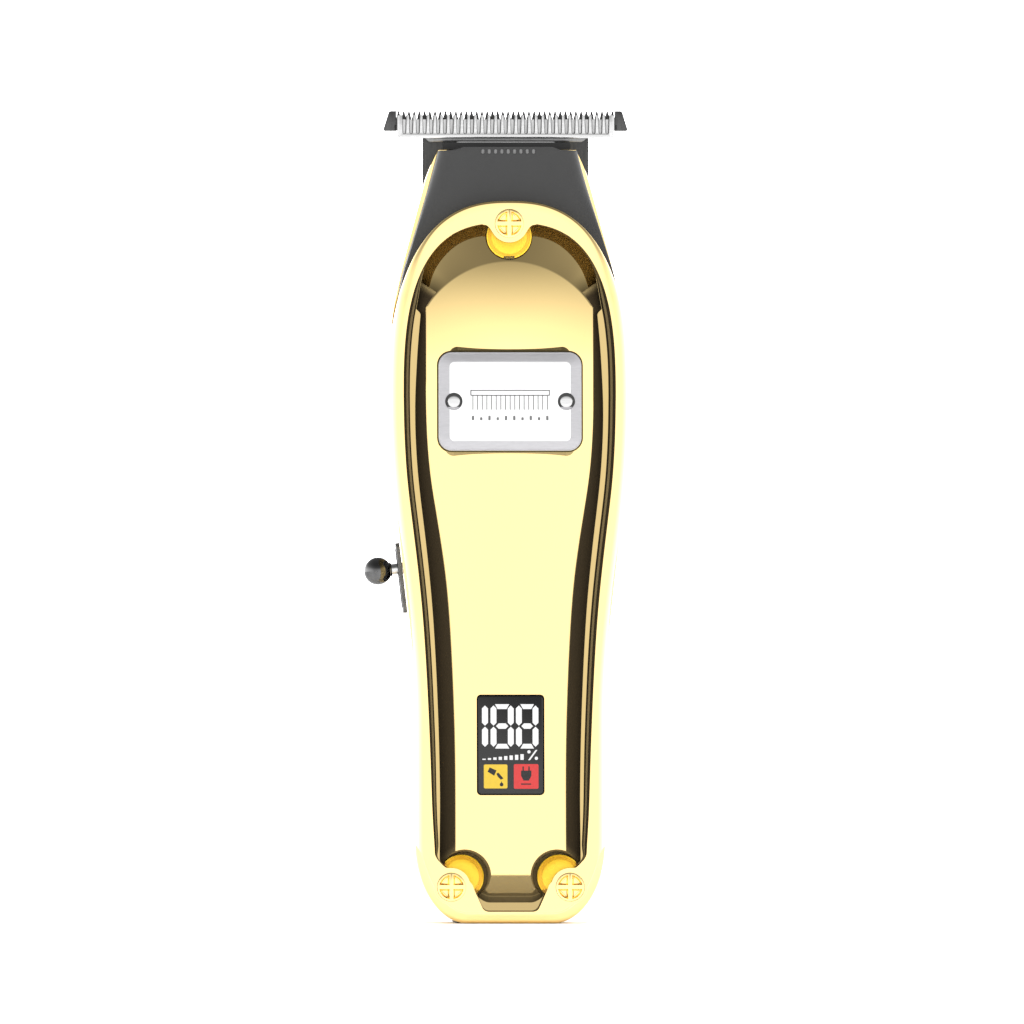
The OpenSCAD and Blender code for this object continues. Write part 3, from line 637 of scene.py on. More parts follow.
def lathe(name, profile, mat, at=(0, 0, 0), axis=(0, 0, 1), n=48, sharp=35.0):
    """A round piece: (radius, height) points turned about an axis; ends on the axis are closed."""
    w = np.array(axis, float) / np.linalg.norm(axis)
    u = np.array((1, 0, 0) if abs(w[0]) < 0.9 else (0, 1, 0), float)
    u -= w * u.dot(w)
    u /= np.linalg.norm(u)
    v = np.cross(w, u)
    a = np.linspace(0, 2 * np.pi, n, endpoint=False)
    ring = np.cos(a)[:, None] * u + np.sin(a)[:, None] * v
    rings = [np.array(at, float) + ring * max(r, 1e-4) + w * h for r, h in profile]
    ends_on_axis = profile[0][0] < 1e-3 and profile[-1][0] < 1e-3
    if not ends_on_axis:
        rings.append(rings[0])
    verts, faces = skin(rings, caps=ends_on_axis)
    obj = new_object(name, verts, faces, mat, sharp)
    merge(obj)
    shade(obj, sharp)
    return obj


def set_tone(obj, values, layer="painted_shade"):
    """Painted shading for each face, from 0 for none to 1 for the deepest."""
    attribute = obj.data.attributes.new(layer, "FLOAT", "FACE")
    faces = len(obj.data.polygons)
    values = np.broadcast_to(np.asarray(values, np.float32), faces)
    attribute.data.foreach_set("value", np.ascontiguousarray(values))


def tone_at(obj, tell, layer="painted_shade"):
    """Painted shading of each face from a function of the face's middle, in millimetres."""
    centres = np.array([tuple(p.center) for p in obj.data.polygons]) / MM
    set_tone(obj, tell(centres[:, 0], centres[:, 1], centres[:, 2]), layer)


def merge(obj, distance=2e-6):
    bm = bmesh.new()
    bm.from_mesh(obj.data)
    bmesh.ops.remove_doubles(bm, verts=bm.verts, dist=distance)
    bmesh.ops.dissolve_degenerate(bm, dist=distance / 2, edges=bm.edges)
    bmesh.ops.recalc_face_normals(bm, faces=bm.faces)
    bm.to_mesh(obj.data)
    bm.free()


def box_piece(name, low, high, mat, bevel=0.15):
    """A block with rounded edges."""
    low, high = np.array(low, float), np.array(high, float)
    size = high - low
    middle = (low + high) / 2
    outline = rounded(size[0], size[2], min(bevel * 1.5, size[0] / 2.1, size[2] / 2.1),
                      (middle[0], middle[2]), 3)
    return slab(name, outline, low[1], high[1], mat, bevel, bevel)


def finish(obj, node, body="body"):
    """Puts a piece on its body in place of a CAD node, and hides that node."""
    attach(obj, body)
    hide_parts(node)


# ---------------------------------------------------------------- covers

def ray_field():
    """Start points on the spine and directions out to the outline, right half, bottom to top."""
    low = [(0.0, SPINE_LOW, math.radians(a)) for a in np.linspace(-90, 0, 141)[:-1]]
    side = [(0.0, z, 0.0) for z in np.linspace(SPINE_LOW, SPINE_HIGH, 91)[:-1]]
    high = [(0.0, SPINE_HIGH, math.radians(a)) for a in np.linspace(0, 90, 141)]
    rays = np.array(low + side + high)
    return rays[:, :2], np.stack([np.cos(rays[:, 2]), np.sin(rays[:, 2])], axis=1)


def first_crossing(field, start, way):
    """How far along each ray the field first rises above zero."""
    reach = np.linspace(0.0, 25.0, 1501)
    x = start[:, :1] + way[:, :1] * reach
    z = start[:, 1:] + way[:, 1:] * reach
    value = field(x, z)
    first = np.argmax(value > 0, axis=1)
    rows = np.arange(len(start))
    before = np.maximum(first - 1, 0)
    v0, v1 = value[rows, before], value[rows, first]
    part = np.clip(-v0 / np.where(v1 - v0 == 0, 1, v1 - v0), 0, 1)
    return reach[before] + part * (reach[1] - reach[0])


def mirrored(points):
    """Right half followed by its mirror image, without the two points on the middle line."""
    left = points[1:-1][::-1].copy()
    left[:, 0] *= -1
    return np.concatenate([points, left])


def front_cover(gold):
    """The front cover as rings from the middle of its back, over the rim, to the panel's middle."""
    start, way = ray_field()
    d_out = first_crossing(beyond_outline, start, way)
    d_rim = first_crossing(beyond_opening, start, way)
    d_wall = np.minimum(first_crossing(wall_line, start, way), d_rim - 0.06)
    d_foot = np.minimum(first_crossing(shoulder_line_in, start, way), d_wall - 0.02)
    d_panel = np.minimum(first_crossing(beyond_panel, start, way), d_foot - 0.05)
    rings, painted_shade = [], []

    def add(points, y, shade_value):
        flat = mirrored(np.stack([points[:, 0], y, points[:, 1]], axis=1))
        value = np.broadcast_to(shade_value, len(points)).astype(float)
        rings.append(flat)
        painted_shade.append(np.concatenate([value, value[1:-1][::-1]]))

    def at(d):
        return start + way * np.reshape(d, (-1, 1))

    outer = at(d_out)
    edge = np.gradient(outer, axis=0)
    edge[0], edge[-1] = (1, 0), (-1, 0)
    edge /= np.linalg.norm(edge, axis=1, keepdims=True)
    normal = np.stack([edge[:, 1], -edge[:, 0]], axis=1)

    def inset(d):
        return outer - normal * np.reshape(d, (-1, 1))

    edge_r = mix(EDGE_R, 0.45, ease(outer[:, 1], 108, 121))

    # Inner skin, from the middle out to the parting edge
    inside = inset(WALL)
    for share in (0.0, 0.35, 0.7, 1.0):
        pts = start + (inside - start) * share
        under = np.minimum(front_y(pts[:, 1]) + 4.2, part_y(pts[:, 1]) - 0.15)
        add(pts, under, 0)
    add(inside, part_y(inside[:, 1]), 0)
    # Parting edge and side
    for d, lift in ((0.3, 0.0), (0.08, 0.1), (0.0, 0.35)):
        pts = inset(d)
        add(pts, part_y(pts[:, 1]) - lift, 0)
    deep = part_y(outer[:, 1]) - 0.35
    high = front_y(outer[:, 1]) + edge_r
    for share in (0.33, 0.66):
        add(outer, mix(deep, high, share), 0)
    # Rounded front edge and the rim
    for angle in np.linspace(0, 90, 12):
        a = math.radians(angle)
        pts = inset(edge_r * (1 - math.cos(a)))
        add(pts, front_y(pts[:, 1]) + edge_r * (1 - math.sin(a)), 0)
    rim_in, rim_out = at(d_rim), inset(edge_r)
    for share in (0.35, 0.7, 0.93, 0.985):
        pts = mix(rim_out, rim_in, share)
        add(pts, front_y(pts[:, 1]), 0)
    # The wall, with a narrow step half way down along the sides, and painted shade on its faces
    wall_in = at(d_wall)
    wide = np.clip((d_rim - d_wall - 0.35) / 0.4, 0, 1)
    for share, part, dark in ((0.0, 0.012, 0.3), (0.04, 0.04, 1.0), (0.40, 0.42, 1.0), (0.42, 0.46, 0.88),
                              (0.74, 0.50, 0.88), (0.77, 0.55, 1.0), (0.98, 0.97, 1.0), (1.0, 1.0, 0.6)):
        pts = mix(rim_in, wall_in, share)
        painted_shading = mix(min(dark, 0.97), dark, wide)
        painted_shading = mix(painted_shading, 0.94, ease(pts[:, 1], 109, 113))
        add(pts, front_y(pts[:, 1]) + floor_depth(pts[:, 1]) * part, painted_shading)
    # Ledge, shoulder and the panel's edge, with painted shade on the ledge and the shoulder
    foot, top = at(d_foot), at(d_panel)
    z_foot = foot[:, 1]
    slope = ease(z_foot, 108.5, 113.5)
    under = 1 - ease(z_foot, 7, 12)
    ledge = mix(mix(0.5, 0.62, under), 0.1, slope)
    for share in (0.03, 0.5, 0.97):
        pts = mix(wall_in, foot, share)
        add(pts, front_y(pts[:, 1]) + floor_depth(pts[:, 1]), ledge)
    y0 = front_y(foot[:, 1]) + floor_depth(foot[:, 1])
    y1 = front_y(top[:, 1]) + panel_depth(top[:, 0], top[:, 1])
    deep_tone = mix(mix(1.0, 0.74, under), 0.0, slope)
    for share in (0.0, 0.04, 0.2, 0.24, 0.4, 0.6, 0.8, 0.95, 0.985):
        pts = mix(foot, top, share)
        rise = mix(share + 0.10 * math.sin(math.pi * share), share, slope)
        painted_shading = mix(deep_tone, 0.88, under) if share < 0.22 else deep_tone
        add(pts, mix(y0, y1, rise), painted_shading * (0.5 if share > 0.98 else 1))
    # The panel, in to the spine, with a little painted shade along its edge
    for share in np.concatenate([[0.0, 0.012, 0.03, 0.06], np.linspace(0.1, 1.0, 30)]):
        pts = mix(top, start, share)
        edge_tone = 0.15 * (1 - slope) if share < 0.01 else 0.0
        add(pts, front_y(pts[:, 1]) + panel_depth(pts[:, 0], pts[:, 1]), edge_tone)
    verts, faces = skin(rings)
    obj = new_object("front_cover_shell", verts, faces, gold)
    values = np.concatenate(painted_shade)
    set_tone(obj, [values[list(p.vertices)].mean() for p in obj.data.polygons])
    merge(obj)
    tools = [slab("tool", rounded(WINDOW_W, WINDOW_H, 0.75, (0, WINDOW_Z)), -2, 6, gold, leaning=True),
             base_tool(gold), switch_tool(gold)]
    tools += [slab("tool", circle(SCREW_SEAT_R, at), -1, 1.6, gold, leaning=True) for at in SCREW_AT]
    for at in WELL_AT:
        spec = ((4.0, 2.6), (4.1, 2.2), (4.62, -0.25), (5.0, -2))
        if at[1] > 60:
            spec = ((4.02, 3.1), (4.05, 2.0), (4.1, -2))
        tools.append(closed("tool", [at_depth(circle(r, at, 96), d) for r, d in spec], gold, place=lean))
        # Painted shade on the well's cutter, which the cut leaves on the well's walls
        set_tone(tools[-1], 0.82)
    cut(obj, tools)
    lobes = []
    for at in SCREW_AT:
        lobe = slab("lobe", lobe_outline(at), -0.004, 3.2, gold, leaning=True, sharp=30)
        # Painted shade on the lobes' sides, none on their fronts
        set_tone(lobe, [0.0 if abs(p.normal.y) > 0.9 else 0.9 for p in lobe.data.polygons])
        cut(lobe, [slab("tool", circle(SCREW_SEAT_R, at), -1, 1.6, gold, leaning=True)])
        lobes.append(lobe)
    lobes = join("front_cover_lobes", lobes)
    for part in (obj, lobes):
        shade(part, 30)
        finish(part, "front_cover")


def lobe_outline(at, reach=7.0):
    """The rim's round lobe at a screw, with fillets where it leaves the rim."""
    pts = []
    for a in np.linspace(0, 2 * np.pi, 181)[:-1]:
        r = np.linspace(2.9, reach, 206)
        x, z = at[0] + r * math.cos(a), at[1] + r * math.sin(a)
        lobe = np.hypot(x - at[0], z - at[1]) - LOBE_R
        well = circle_distance(x, z, WELL_AT) < 5.05
        fillet = 1.8 if at[1] > 60 else np.where(z > 8.5, 0.3, 0.9)
        inside = smooth_max(beyond_opening(x, z), -lobe, fillet) < 0
        edge = r[well].max() + 0.05 if well.any() else 2.9
        edge = r[np.argmax(inside)] if inside.any() else edge
        pts.append((at[0] + edge * math.cos(a), at[1] + edge * math.sin(a)))
    return np.array(pts)


def rear_section(z, d=0.0, n=64):
    """Half ring of the rear cover at a height, from the left parting edge round the back."""
    a = rear_w(z) - d
    y0 = rear_part_y(z)
    deep = rear_y(z) - d * mix(1.0, 0.75, ease(z, 100, 110)) - y0
    t = np.linspace(math.pi, 0, n)
    # A small round where the side meets the parting line
    lip = 0.18 * np.exp(-((math.pi / 2 - np.abs(t - math.pi / 2)) / 0.06) ** 2)
    x = (a - lip) * np.sign(np.cos(t)) * np.abs(np.cos(t)) ** (2 / REAR_POW)
    y = y0 + deep * np.abs(np.sin(t)) ** (2 / REAR_POW)
    return np.stack([x, y, np.full(n, float(z))], axis=1)


def rear_heights(low, high):
    foot = FOOT_H * (1 - np.cos(np.linspace(0, np.pi / 2, 24)))
    return np.concatenate([np.maximum(foot, low), np.linspace(FOOT_H, high, 90)[1:]])


def rear_cover(gold):
    """A shell between an outer and an inner skin, cut for the blade's seat, drive and switch."""
    shell = []
    for z in rear_heights(0.0, NECK_TOP):
        shell.append(np.concatenate([rear_section(z), rear_section(z, WALL)[::-1]]))
    obj = closed("rear_cover_shell", shell, gold, 40)
    merge(obj)
    seat = box_piece("tool", (-30, SEAT_Y, 109.9), (30, 30, 150), gold, 0.0)
    mouth = box_piece("tool", (-10, -8, 119), (10, 30, 150), gold, 0.0)
    cut(obj, [seat, base_tool(gold), mouth, switch_tool(gold), stem_tool(gold)] + blade_holes(gold, 1.4, 24))
    shade(obj, 30)
    finish(obj, "rear_cover")


def switch_basis():
    """Origin on the left side at the switch, outward direction, and the direction up the slope."""
    run = float(body_hw(SWITCH_Z + PLATE_L / 2) - body_hw(SWITCH_Z - PLATE_L / 2))
    angle = math.atan(run / PLATE_L)
    out = np.array((-math.cos(angle), 0, -math.sin(angle)))
    up = np.array((-math.sin(angle), 0, math.cos(angle)))
    return np.array((-float(body_hw(SWITCH_Z)), SWITCH_Y, SWITCH_Z)), out, up


def on_switch(verts):
    """From (outwards, Y, up the slope) in the frame of the switch to the body's frame."""
    origin, out, up = switch_basis()
    verts = np.asarray(verts, float)
    return origin + verts[:, :1] * out + verts[:, 1:2] * np.array((0, 1, 0)) + verts[:, 2:] * up


def switch_slab(name, outline, low, high, mat, bevel=0.0):
    """An outline in (Y, up) thickened outwards from low to high, with a rounded outer edge."""
    rings = [np.stack([np.full(len(ring), h), ring[:, 0], ring[:, 1]], axis=1)
             for ring, h in edged(outline, low, high, 0, bevel)]
    return closed(name, rings, mat, place=on_switch)


def switch_tool(mat):
    return switch_slab("tool", rounded(6.3, PLATE_L + 0.1, 0.9), -0.7, 3.0, mat)


def stem_tool(mat):
    return switch_slab("tool", rounded(2.6, TRAVEL + 2.6, 1.28, (0, 1.65 - TRAVEL / 2)), -8.0, 3.0, mat)


def flat_slab(name, outline, z0, z1, mat, low=0.0, high=0.0):
    """An outline in X and Y thickened upwards, its lower and upper edges rounded."""
    rings = [np.stack([ring[:, 0], ring[:, 1], np.full(len(ring), z)], axis=1)
             for ring, z in edged(outline, z0, z1, low, high)]
    return closed(name, rings, mat)


def base_tool(mat):
    return flat_slab("tool", rounded(2 * BASE_HW + 0.1, 2 * BASE_HALF + 0.1, 1.0), -3, BASE_T + 0.05, mat)


# ---------------------------------------------------------------- screws and collars

POCKET_R, POCKET_EDGE = 2.1, 0.33


def cover_screws(mats):
    """Flush heads whose four pockets leave a raised cross, with the shank behind."""
    heads = []
    first = math.asin(POCKET_EDGE / POCKET_R)
    for at in SCREW_AT:
        head = slab("head", circle(SCREW_HEAD_R, at), 0.0, 1.6, mats["gold_plate"], 0.06,
                    leaning=True, sharp=25)
        tools = []
        for sx in (-1, 1):
            for sz in (-1, 1):
                quarter = [(POCKET_EDGE, POCKET_EDGE)]
                quarter += arc(0, 0, POCKET_R, POCKET_R, first, QUARTER - first, 12)
                quarter = np.array(quarter) * (sx, sz) + at
                if sx * sz < 0:
                    quarter = quarter[::-1]
                rings = [at_depth(offset(quarter, grow), depth)
                         for grow, depth in ((0.02, -0.1), (0.0, 0.0), (-0.16, 0.35), (-0.3, 0.48))]
                tools.append(closed("tool", rings, mats["gold_plate"], place=lean))
        cut(head, tools)
        shade(head, 25)
        heads.append(head)
        profile = [(0, 1.5), (1.0, 1.5)]
        for k in range(9):
            profile += [(1.0, 2.4 + 0.55 * k), (0.78, 2.65 + 0.55 * k)]
        profile += [(0.7, 7.3), (0, 7.6)]
        heads.append(lathe("shank", profile, mats["gold_plate"], (at[0], float(front_y(at[1])), at[1]),
                           (0, 1, 0), 24))
    finish(join("cover_screw_heads", heads), "cover_screws")


def screw_collars(mats):
    """Stepped crescents of bright yellow gold round the lobes of the screws, with painted bands of light and
    shade.
    """
    parts = []
    for k, (at, screw) in enumerate(zip(COLLAR_AT, SCREW_AT)):
        r = 3.88 if k == 0 else 3.82
        steps = ((r, 1.95), (r, 1.30), (r - 0.05, 1.22), (r - 0.22, 1.14), (r - 0.30, 1.20),
                 (r - 0.75, 1.05), (r - 0.80, 0.95), (r - 0.88, 0.90), (r - 1.5, 0.80), (r - 2.2, 0.80))
        rings = [at_depth(circle(radius, at, 96), depth) for radius, depth in steps]
        collar = closed("collar", rings, mats["collar_gold"], 25, lean)
        tools = [slab("tool", circle(LOBE_R + 0.02, screw, 96), -1, 4, mats["collar_gold"], leaning=True)]
        if k == 0:
            # Small notch with ribs at the foot of the upper collar
            tools.append(slab("tool", rounded(1.9, 0.7, 0.12, (0, at[1] - r + 0.15), 3), -1, 1.7,
                              mats["collar_gold"], leaning=True))
        cut(collar, tools)
        shade(collar, 25)

        # Painted shading: bands by distance from the centre, and painted shade on the lower collars' ends
        def tell(x, y, z):
            r = np.hypot(x - at[0], z - at[1])
            painted_shading = np.where(r > 3.6, 0.0, np.where(r > 3.12, 0.42, np.where(r > 2.7, 0.2, 0.05)))
            turn = np.degrees(np.arctan2(z - screw[1], (screw[0] - x) * (1 if screw[0] > 0 else -1)))
            ends = np.where(turn > 104, 1.0, np.where(turn < -6, 0.8, painted_shading))
            return painted_shading if k == 0 else ends
        tone_at(collar, tell, "painted_shading")
        parts.append(collar)
    finish(join("screw_collar_crescents", parts), "screw_collars")
    # Small ribs in the collar's notch, dark with painted shade
    ribs = [slab("rib", rounded(0.16, 0.62, 0.05, (x, COLLAR_AT[0][1] - 3.72), 3), 1.25, 1.9,
                 mats["dark_seat"], 0.04, leaning=True) for x in (-0.72, -0.36, 0, 0.36, 0.72)]
    finish(join("collar_ribs", ribs), "screw_collars")


# ---------------------------------------------------------------- badge

def comb_motif():
    """The thin outline of a comb and a row of small bars, in the place of any name."""
    shapes = [rounded(13.6, 0.2, 0.09, (0, 91.6), 3), rounded(13.6, 0.2, 0.09, (0, 90.75), 3)]
    shapes += [rounded(0.2, 1.0, 0.09, (s * 6.75, 91.2), 3) for s in (-1, 1)]
    shapes += [rounded(0.17, 2.5, 0.08, (-6.4 + 0.8 * k, 89.5), 3) for k in range(17)]
    for k in range(10):
        tall = (0.8, 0.55, 0.8, 0.55, 0.8)[k % 5]
        shapes.append(rounded(0.42, tall, 0.15, (-6.4 + 1.42 * k, 86.45 + tall / 2), 3))
    return shapes


def badge(mats):
    """A bevelled plate on a plinth, with a plain motif and two rivets."""
    middle = (0, BADGE_Z)
    # Raised plinth of the cover, sloped above and below the badge
    rings = []
    for inset, depth in ((-0.02, 0.5), (0.0, 0.0), (0.3, -0.12), (0.6, -0.3), (1.2, -0.60), (2.5, -0.60)):
        outline = rounded(20.0, 19.1 - 2 * inset, 1.3, (0, 89.75), 10)
        share = np.clip((99.3 - outline[:, 1]) / 19.1, 0, 1)
        outline[:, 0] *= (mix(20.8, 22.3, share) - 0.4 * inset) / 20.0
        outline[:, 1] -= 0.25 * (np.abs(outline[:, 0]) / 10.4) ** 2 * np.where(outline[:, 1] > 90, 1, -0.6)
        level = panel_depth(outline[:, 0], outline[:, 1]) if depth > -0.5 else 0
        rings.append(at_depth(outline, depth + level))
    plinth = closed("badge_plinth", rings, mats["gold_plate"], 30, lean)

    # Painted shade on the plinth's slopes, with thin bands a little darker above and below the badge
    def shadow(x, y, z):
        lens = (np.abs(x) < 7) & (np.abs(z - np.where(z > 90, 98.75, 80.6)) < 0.22)
        return np.where(lens, 0.72, np.where(z > 90, 0.5, 0.7))
    tone_at(plinth, shadow)
    finish(plinth, "front_cover")
    # A dark pad under the badge's edge, a painted shadow line
    seat = slab("badge_pad", rounded(BADGE_W + 0.5, BADGE_H + 0.5, 2.5, middle), -0.74, -0.45,
                mats["pad_gold"], 0.04, leaning=True)
    finish(seat, "badge_plate")
    spec = ((BADGE_W - 0.1, BADGE_H - 0.1, 2.2, -0.70), (BADGE_W, BADGE_H, 2.28, -0.76),
            (BADGE_W, BADGE_H, 2.28, -0.98), (BADGE_W - 0.06, BADGE_H - 0.06, 2.25, -1.04),
            (BADGE_W - 0.34, BADGE_H - 0.34, 2.13, -1.09), (BADGE_W - 0.44, BADGE_H - 0.44, 2.08, -1.07),
            (21.2, 14.0, 1.0, -1.38), (20.9, 13.7, 0.85, -1.40), (20.0, 13.0, 0.6, -1.40))
    rings = [at_depth(rounded(w, h, r, middle), depth) for w, h, r, depth in spec]
    bezel = closed("badge_frame", rings, mats["badge_bevel"], 25, lean)
    face = slab("badge_face", rounded(20.8, 13.6, 0.8, middle), -1.49, -1.36, mats["badge_steel"], 0.03,
                leaning=True, sharp=25)
    holes = [circle(RIVET_SEAT_R, (s * RIVET_X, BADGE_Z)) for s in (-1, 1)]
    for obj in (bezel, face):
        cut(obj, [slab("tool", hole, -3, -1.2, mats["dark_seat"], leaning=True) for hole in holes])
        shade(obj, 25)
        finish(obj, "badge_plate")
    marks = [slab("mark", shape, -1.497, -1.47, mats["engraving"], leaning=True) for shape in comb_motif()]
    finish(join("badge_motif", marks), "badge_plate")
    domes, cups = [], []
    for s in (-1, 1):
        at = (s * RIVET_X, float(front_y(BADGE_Z)), BADGE_Z)
        # A dark cup in each rivet's counterbore, a painted shade ring round the dome
        cup = [(1.0, -1.25), (1.44, -1.25), (1.47, -1.46), (RIVET_SEAT_R, -1.46), (RIVET_SEAT_R, -1.1),
               (1.0, -1.1)]
        cups.append(lathe("cup", cup, mats["dark_seat"], at, (0, 1, 0)))
        dome = [(0, 0.8), (0.7, 0.8), (0.7, -1.0), (1.05, -1.15)]
        dome += arc(0, -1.38, 1.05, -0.16, 0, QUARTER, 10)[:-1] + [(0, -1.54)]
        domes.append(lathe("dome", dome, mats["chrome_steel"], at, (0, 1, 0), sharp=50))
    finish(join("badge_rivet_domes", domes), "badge_rivets")
    finish(join("badge_rivet_cups", cups), "badge_plate")


# ---------------------------------------------------------------- display

FIGURE_STEP, FIGURE_SCALE, FIGURE_LEFT, FIGURE_TOP = 14, 0.172, 39.64, 235


def figure_x(u):
    return (u / FIGURE_STEP - FIGURE_LEFT) * FIGURE_SCALE


def figure_z(v):
    return (FIGURE_TOP - v / FIGURE_STEP) * FIGURE_SCALE


def placed(points):
    """An outline from points on the display's own scale, which runs right and down."""
    return np.array([(figure_x(u), figure_z(v)) for u, v in points])


def area(u0, v0, u1, v1):
    """A plain rectangle given by its left, top, right and bottom."""
    return placed(((u0, v1), (u1, v1), (u1, v0), (u0, v0)))


def segment(u0, v0, u1, v1):
    """A bar with pointed ends, lying or standing."""
    if u1 - u0 > v1 - v0:
        t, m = (v1 - v0) / 2, (v0 + v1) / 2
        pts = ((u0, m), (u0 + t, v1), (u1 - t, v1), (u1, m), (u1 - t, v0), (u0 + t, v0))
    else:
        t, m = 42, (u0 + u1) / 2
        pts = ((m, v1), (u1, v1 - t), (u1, v0 + t), (m, v0), (u0, v0 + t), (u0, v1 - t))
    return placed(pts)


def eight(left, right):
    """The seven bars of a figure 8 between its left and right columns."""
    (l0, l1), (r0, r1) = left, right
    bars = [segment(l0, 240, l1, 522), segment(r0, 240, r1, 522),
            segment(l0, 536, l1, 818), segment(r0, 536, r1, 818)]
    for outer, inner in ((222, 290), (842, 776)):
        pts = ((l0 + 62, outer), (l0 + 100, inner), (r1 - 100, inner), (r1 - 62, outer))
        pts = pts if outer < inner else pts[::-1]
        bars.append(placed(pts))
    bars.append(segment(l0 + 76, 490, r1 - 76, 566))
    return bars


def display(mats):
    """A smoked window with lit figures, level bars and two lamps."""
    middle = (0, WINDOW_Z)
    back = rounded(WINDOW_W - 0.04, WINDOW_H - 0.04, 0.73, middle)
    bezel = slab("display_bezel", back, WINDOW_D + 0.06, 0.9, mats["gasket"], 0.05, leaning=True)
    finish(bezel, "display_window")
    glass = slab("display_glass", rounded(WINDOW_W - 0.5, WINDOW_H - 0.5, 0.55, middle), WINDOW_D, 0.5,
                 mats["smoked_window"], 0.08, leaning=True)
    finish(glass, "display_window")

    def lay(name, shapes, mat, level):
        parts = [slab("figure", shape, WINDOW_D - 0.012 * level, WINDOW_D + 0.05, mat, leaning=True)
                 for shape in shapes]
        finish(join(name, parts), "display_window")

    digits = [segment(155, 240, 240, 522), segment(155, 536, 240, 818)]
    digits += eight((275, 358), (517, 600)) + eight((630, 713), (863, 945))
    # Level bars and a percent sign under the figures
    for k in range(8):
        digits.append(area(160 + 76 * k, 984 - 9 * k, 206 + 76 * k, 1000))
    digits.append(circle(0.28, (figure_x(812), figure_z(888)), 24))
    digits.append(circle(0.28, (figure_x(915), figure_z(978)), 24))
    digits.append(placed(((800, 1004), (826, 1004), (930, 862), (904, 862))))
    lay("display_figures", digits, mats["led_block"], 1)
    for lamp, (u0, v0, u1, v1), u, color in (("oil", (180, 1065, 510, 1400), 345, "led_yellow"),
                                             ("charge", (600, 1060, 945, 1405), 772, "led_red")):
        size = figure_x(u1) - figure_x(u0), figure_z(v0) - figure_z(v1)
        lay("display_lamp_" + lamp, [rounded(*size, 0.25, (figure_x(u), figure_z(1232)))], mats[color], 1)
    dark = [placed(((232, 1165), (325, 1222), (357, 1148), (262, 1105))),
            placed(((355, 1195), (375, 1235), (417, 1277), (455, 1260), (382, 1176)))]
    drop = circle(0.32, (figure_x(428), figure_z(1345)), 20)
    drop[np.argmax(drop[:, 1]), 1] += 0.3
    dark.append(drop)
    lay("display_oil_icon", dark, mats["black_plastic"], 2)
    plug = [area(720, 1092, 740, 1152), area(802, 1092, 822, 1152), area(700, 1150, 845, 1225),
            placed(((735, 1290), (810, 1290), (845, 1222), (700, 1222))), area(700, 1330, 842, 1347)]
    lay("display_plug_icon", plug, mats["black_plastic"], 2)


# ---------------------------------------------------------------- head

def neck_ring(z, extra=0.0):
    """C-shaped section of the neck: its outer skin with round corners, then its inner skin back."""
    a = float(neck_w(z)) - extra - 0.5 * (1 - float(ease(z, 106, 113)))
    y0 = float(rear_part_y(z)) - 0.05
    y1 = float(part_y(z)) + 0.12 + extra
    r = min(0.3 + 2.2 * float(ease(z, 117, 128)), (y0 - y1) * 0.45)
    right = [(a, y0), (a, mix(y0, y1 + r, 0.5))]
    right += arc(a - r, y1 + r, r, -r, 0, QUARTER, 9)
    front = [((a - r) * (1 - s), y1 + 0.02) for s in (0.08, 0.2, 0.23, 0.26, 0.3, 0.45, 0.6, 0.8)]
    half = right + front
    wall = 1.5
    inner = [(a - wall, y0), (a - wall, mix(y0, y1 + wall, 0.5)), (a - wall, y1 + wall + 0.4),
             (a - wall - 0.4, y1 + wall), (a * 0.5, y1 + wall), (0.3, y1 + wall)]
    outer_pts = half + [(-x, y) for x, y in half[::-1]]
    inner_pts = [(-x, y) for x, y in inner] + inner[::-1]
    return np.array([(x, y, z) for x, y in outer_pts + inner_pts])


def neck(mats):
    """The dark neck, its top edge raised in the middle."""
    heights = np.concatenate([np.linspace(NECK_LOW, 132.2, 60), [132.6]])
    rings = [neck_ring(z) for z in heights]
    for lift, extra in ((-0.12, 0.0), (-0.03, 0.04), (0.0, 0.14)):
        ring = neck_ring(132.9, extra)
        raised = 0.6 * (1 - ease(np.abs(ring[:, 0]), 8.3, 9.1))
        ring[:, 2] += raised + lift
        rings.append(ring)
    obj = closed("neck_shell", rings, mats["dark_plastic"], 40)
    finish(obj, "head_housing")
    pitch, y = 1.09, float(part_y(132.7)) + 0.12
    ribs = [slab("rib", rounded(0.5, 0.75, 0.2, (k * pitch, 132.72), 4), y - 0.14, y + 0.3,
                 mats["rib_plastic"], 0.1) for k in range(-4, 5)]
    finish(join("neck_ribs", ribs), "head_housing")
    # Inner bosses for the blade screws
    near = float(part_y(BLADE_SCREW_Z)) + 1.2
    bosses = [slab("boss", circle(2.6, (x, BLADE_SCREW_Z), 32), near, 2.5, mats["dark_plastic"], 0.2, 0.2)
              for x in BLADE_SCREW_X]
    finish(join("neck_bosses", bosses), "head_housing")


def blade_holes(mat, r=1.35, n=32):
    """Tools for the two screws that hold the fixed blade."""
    return [slab("tool", circle(r, (x, BLADE_SCREW_Z), n), 0, 12, mat) for x in BLADE_SCREW_X]


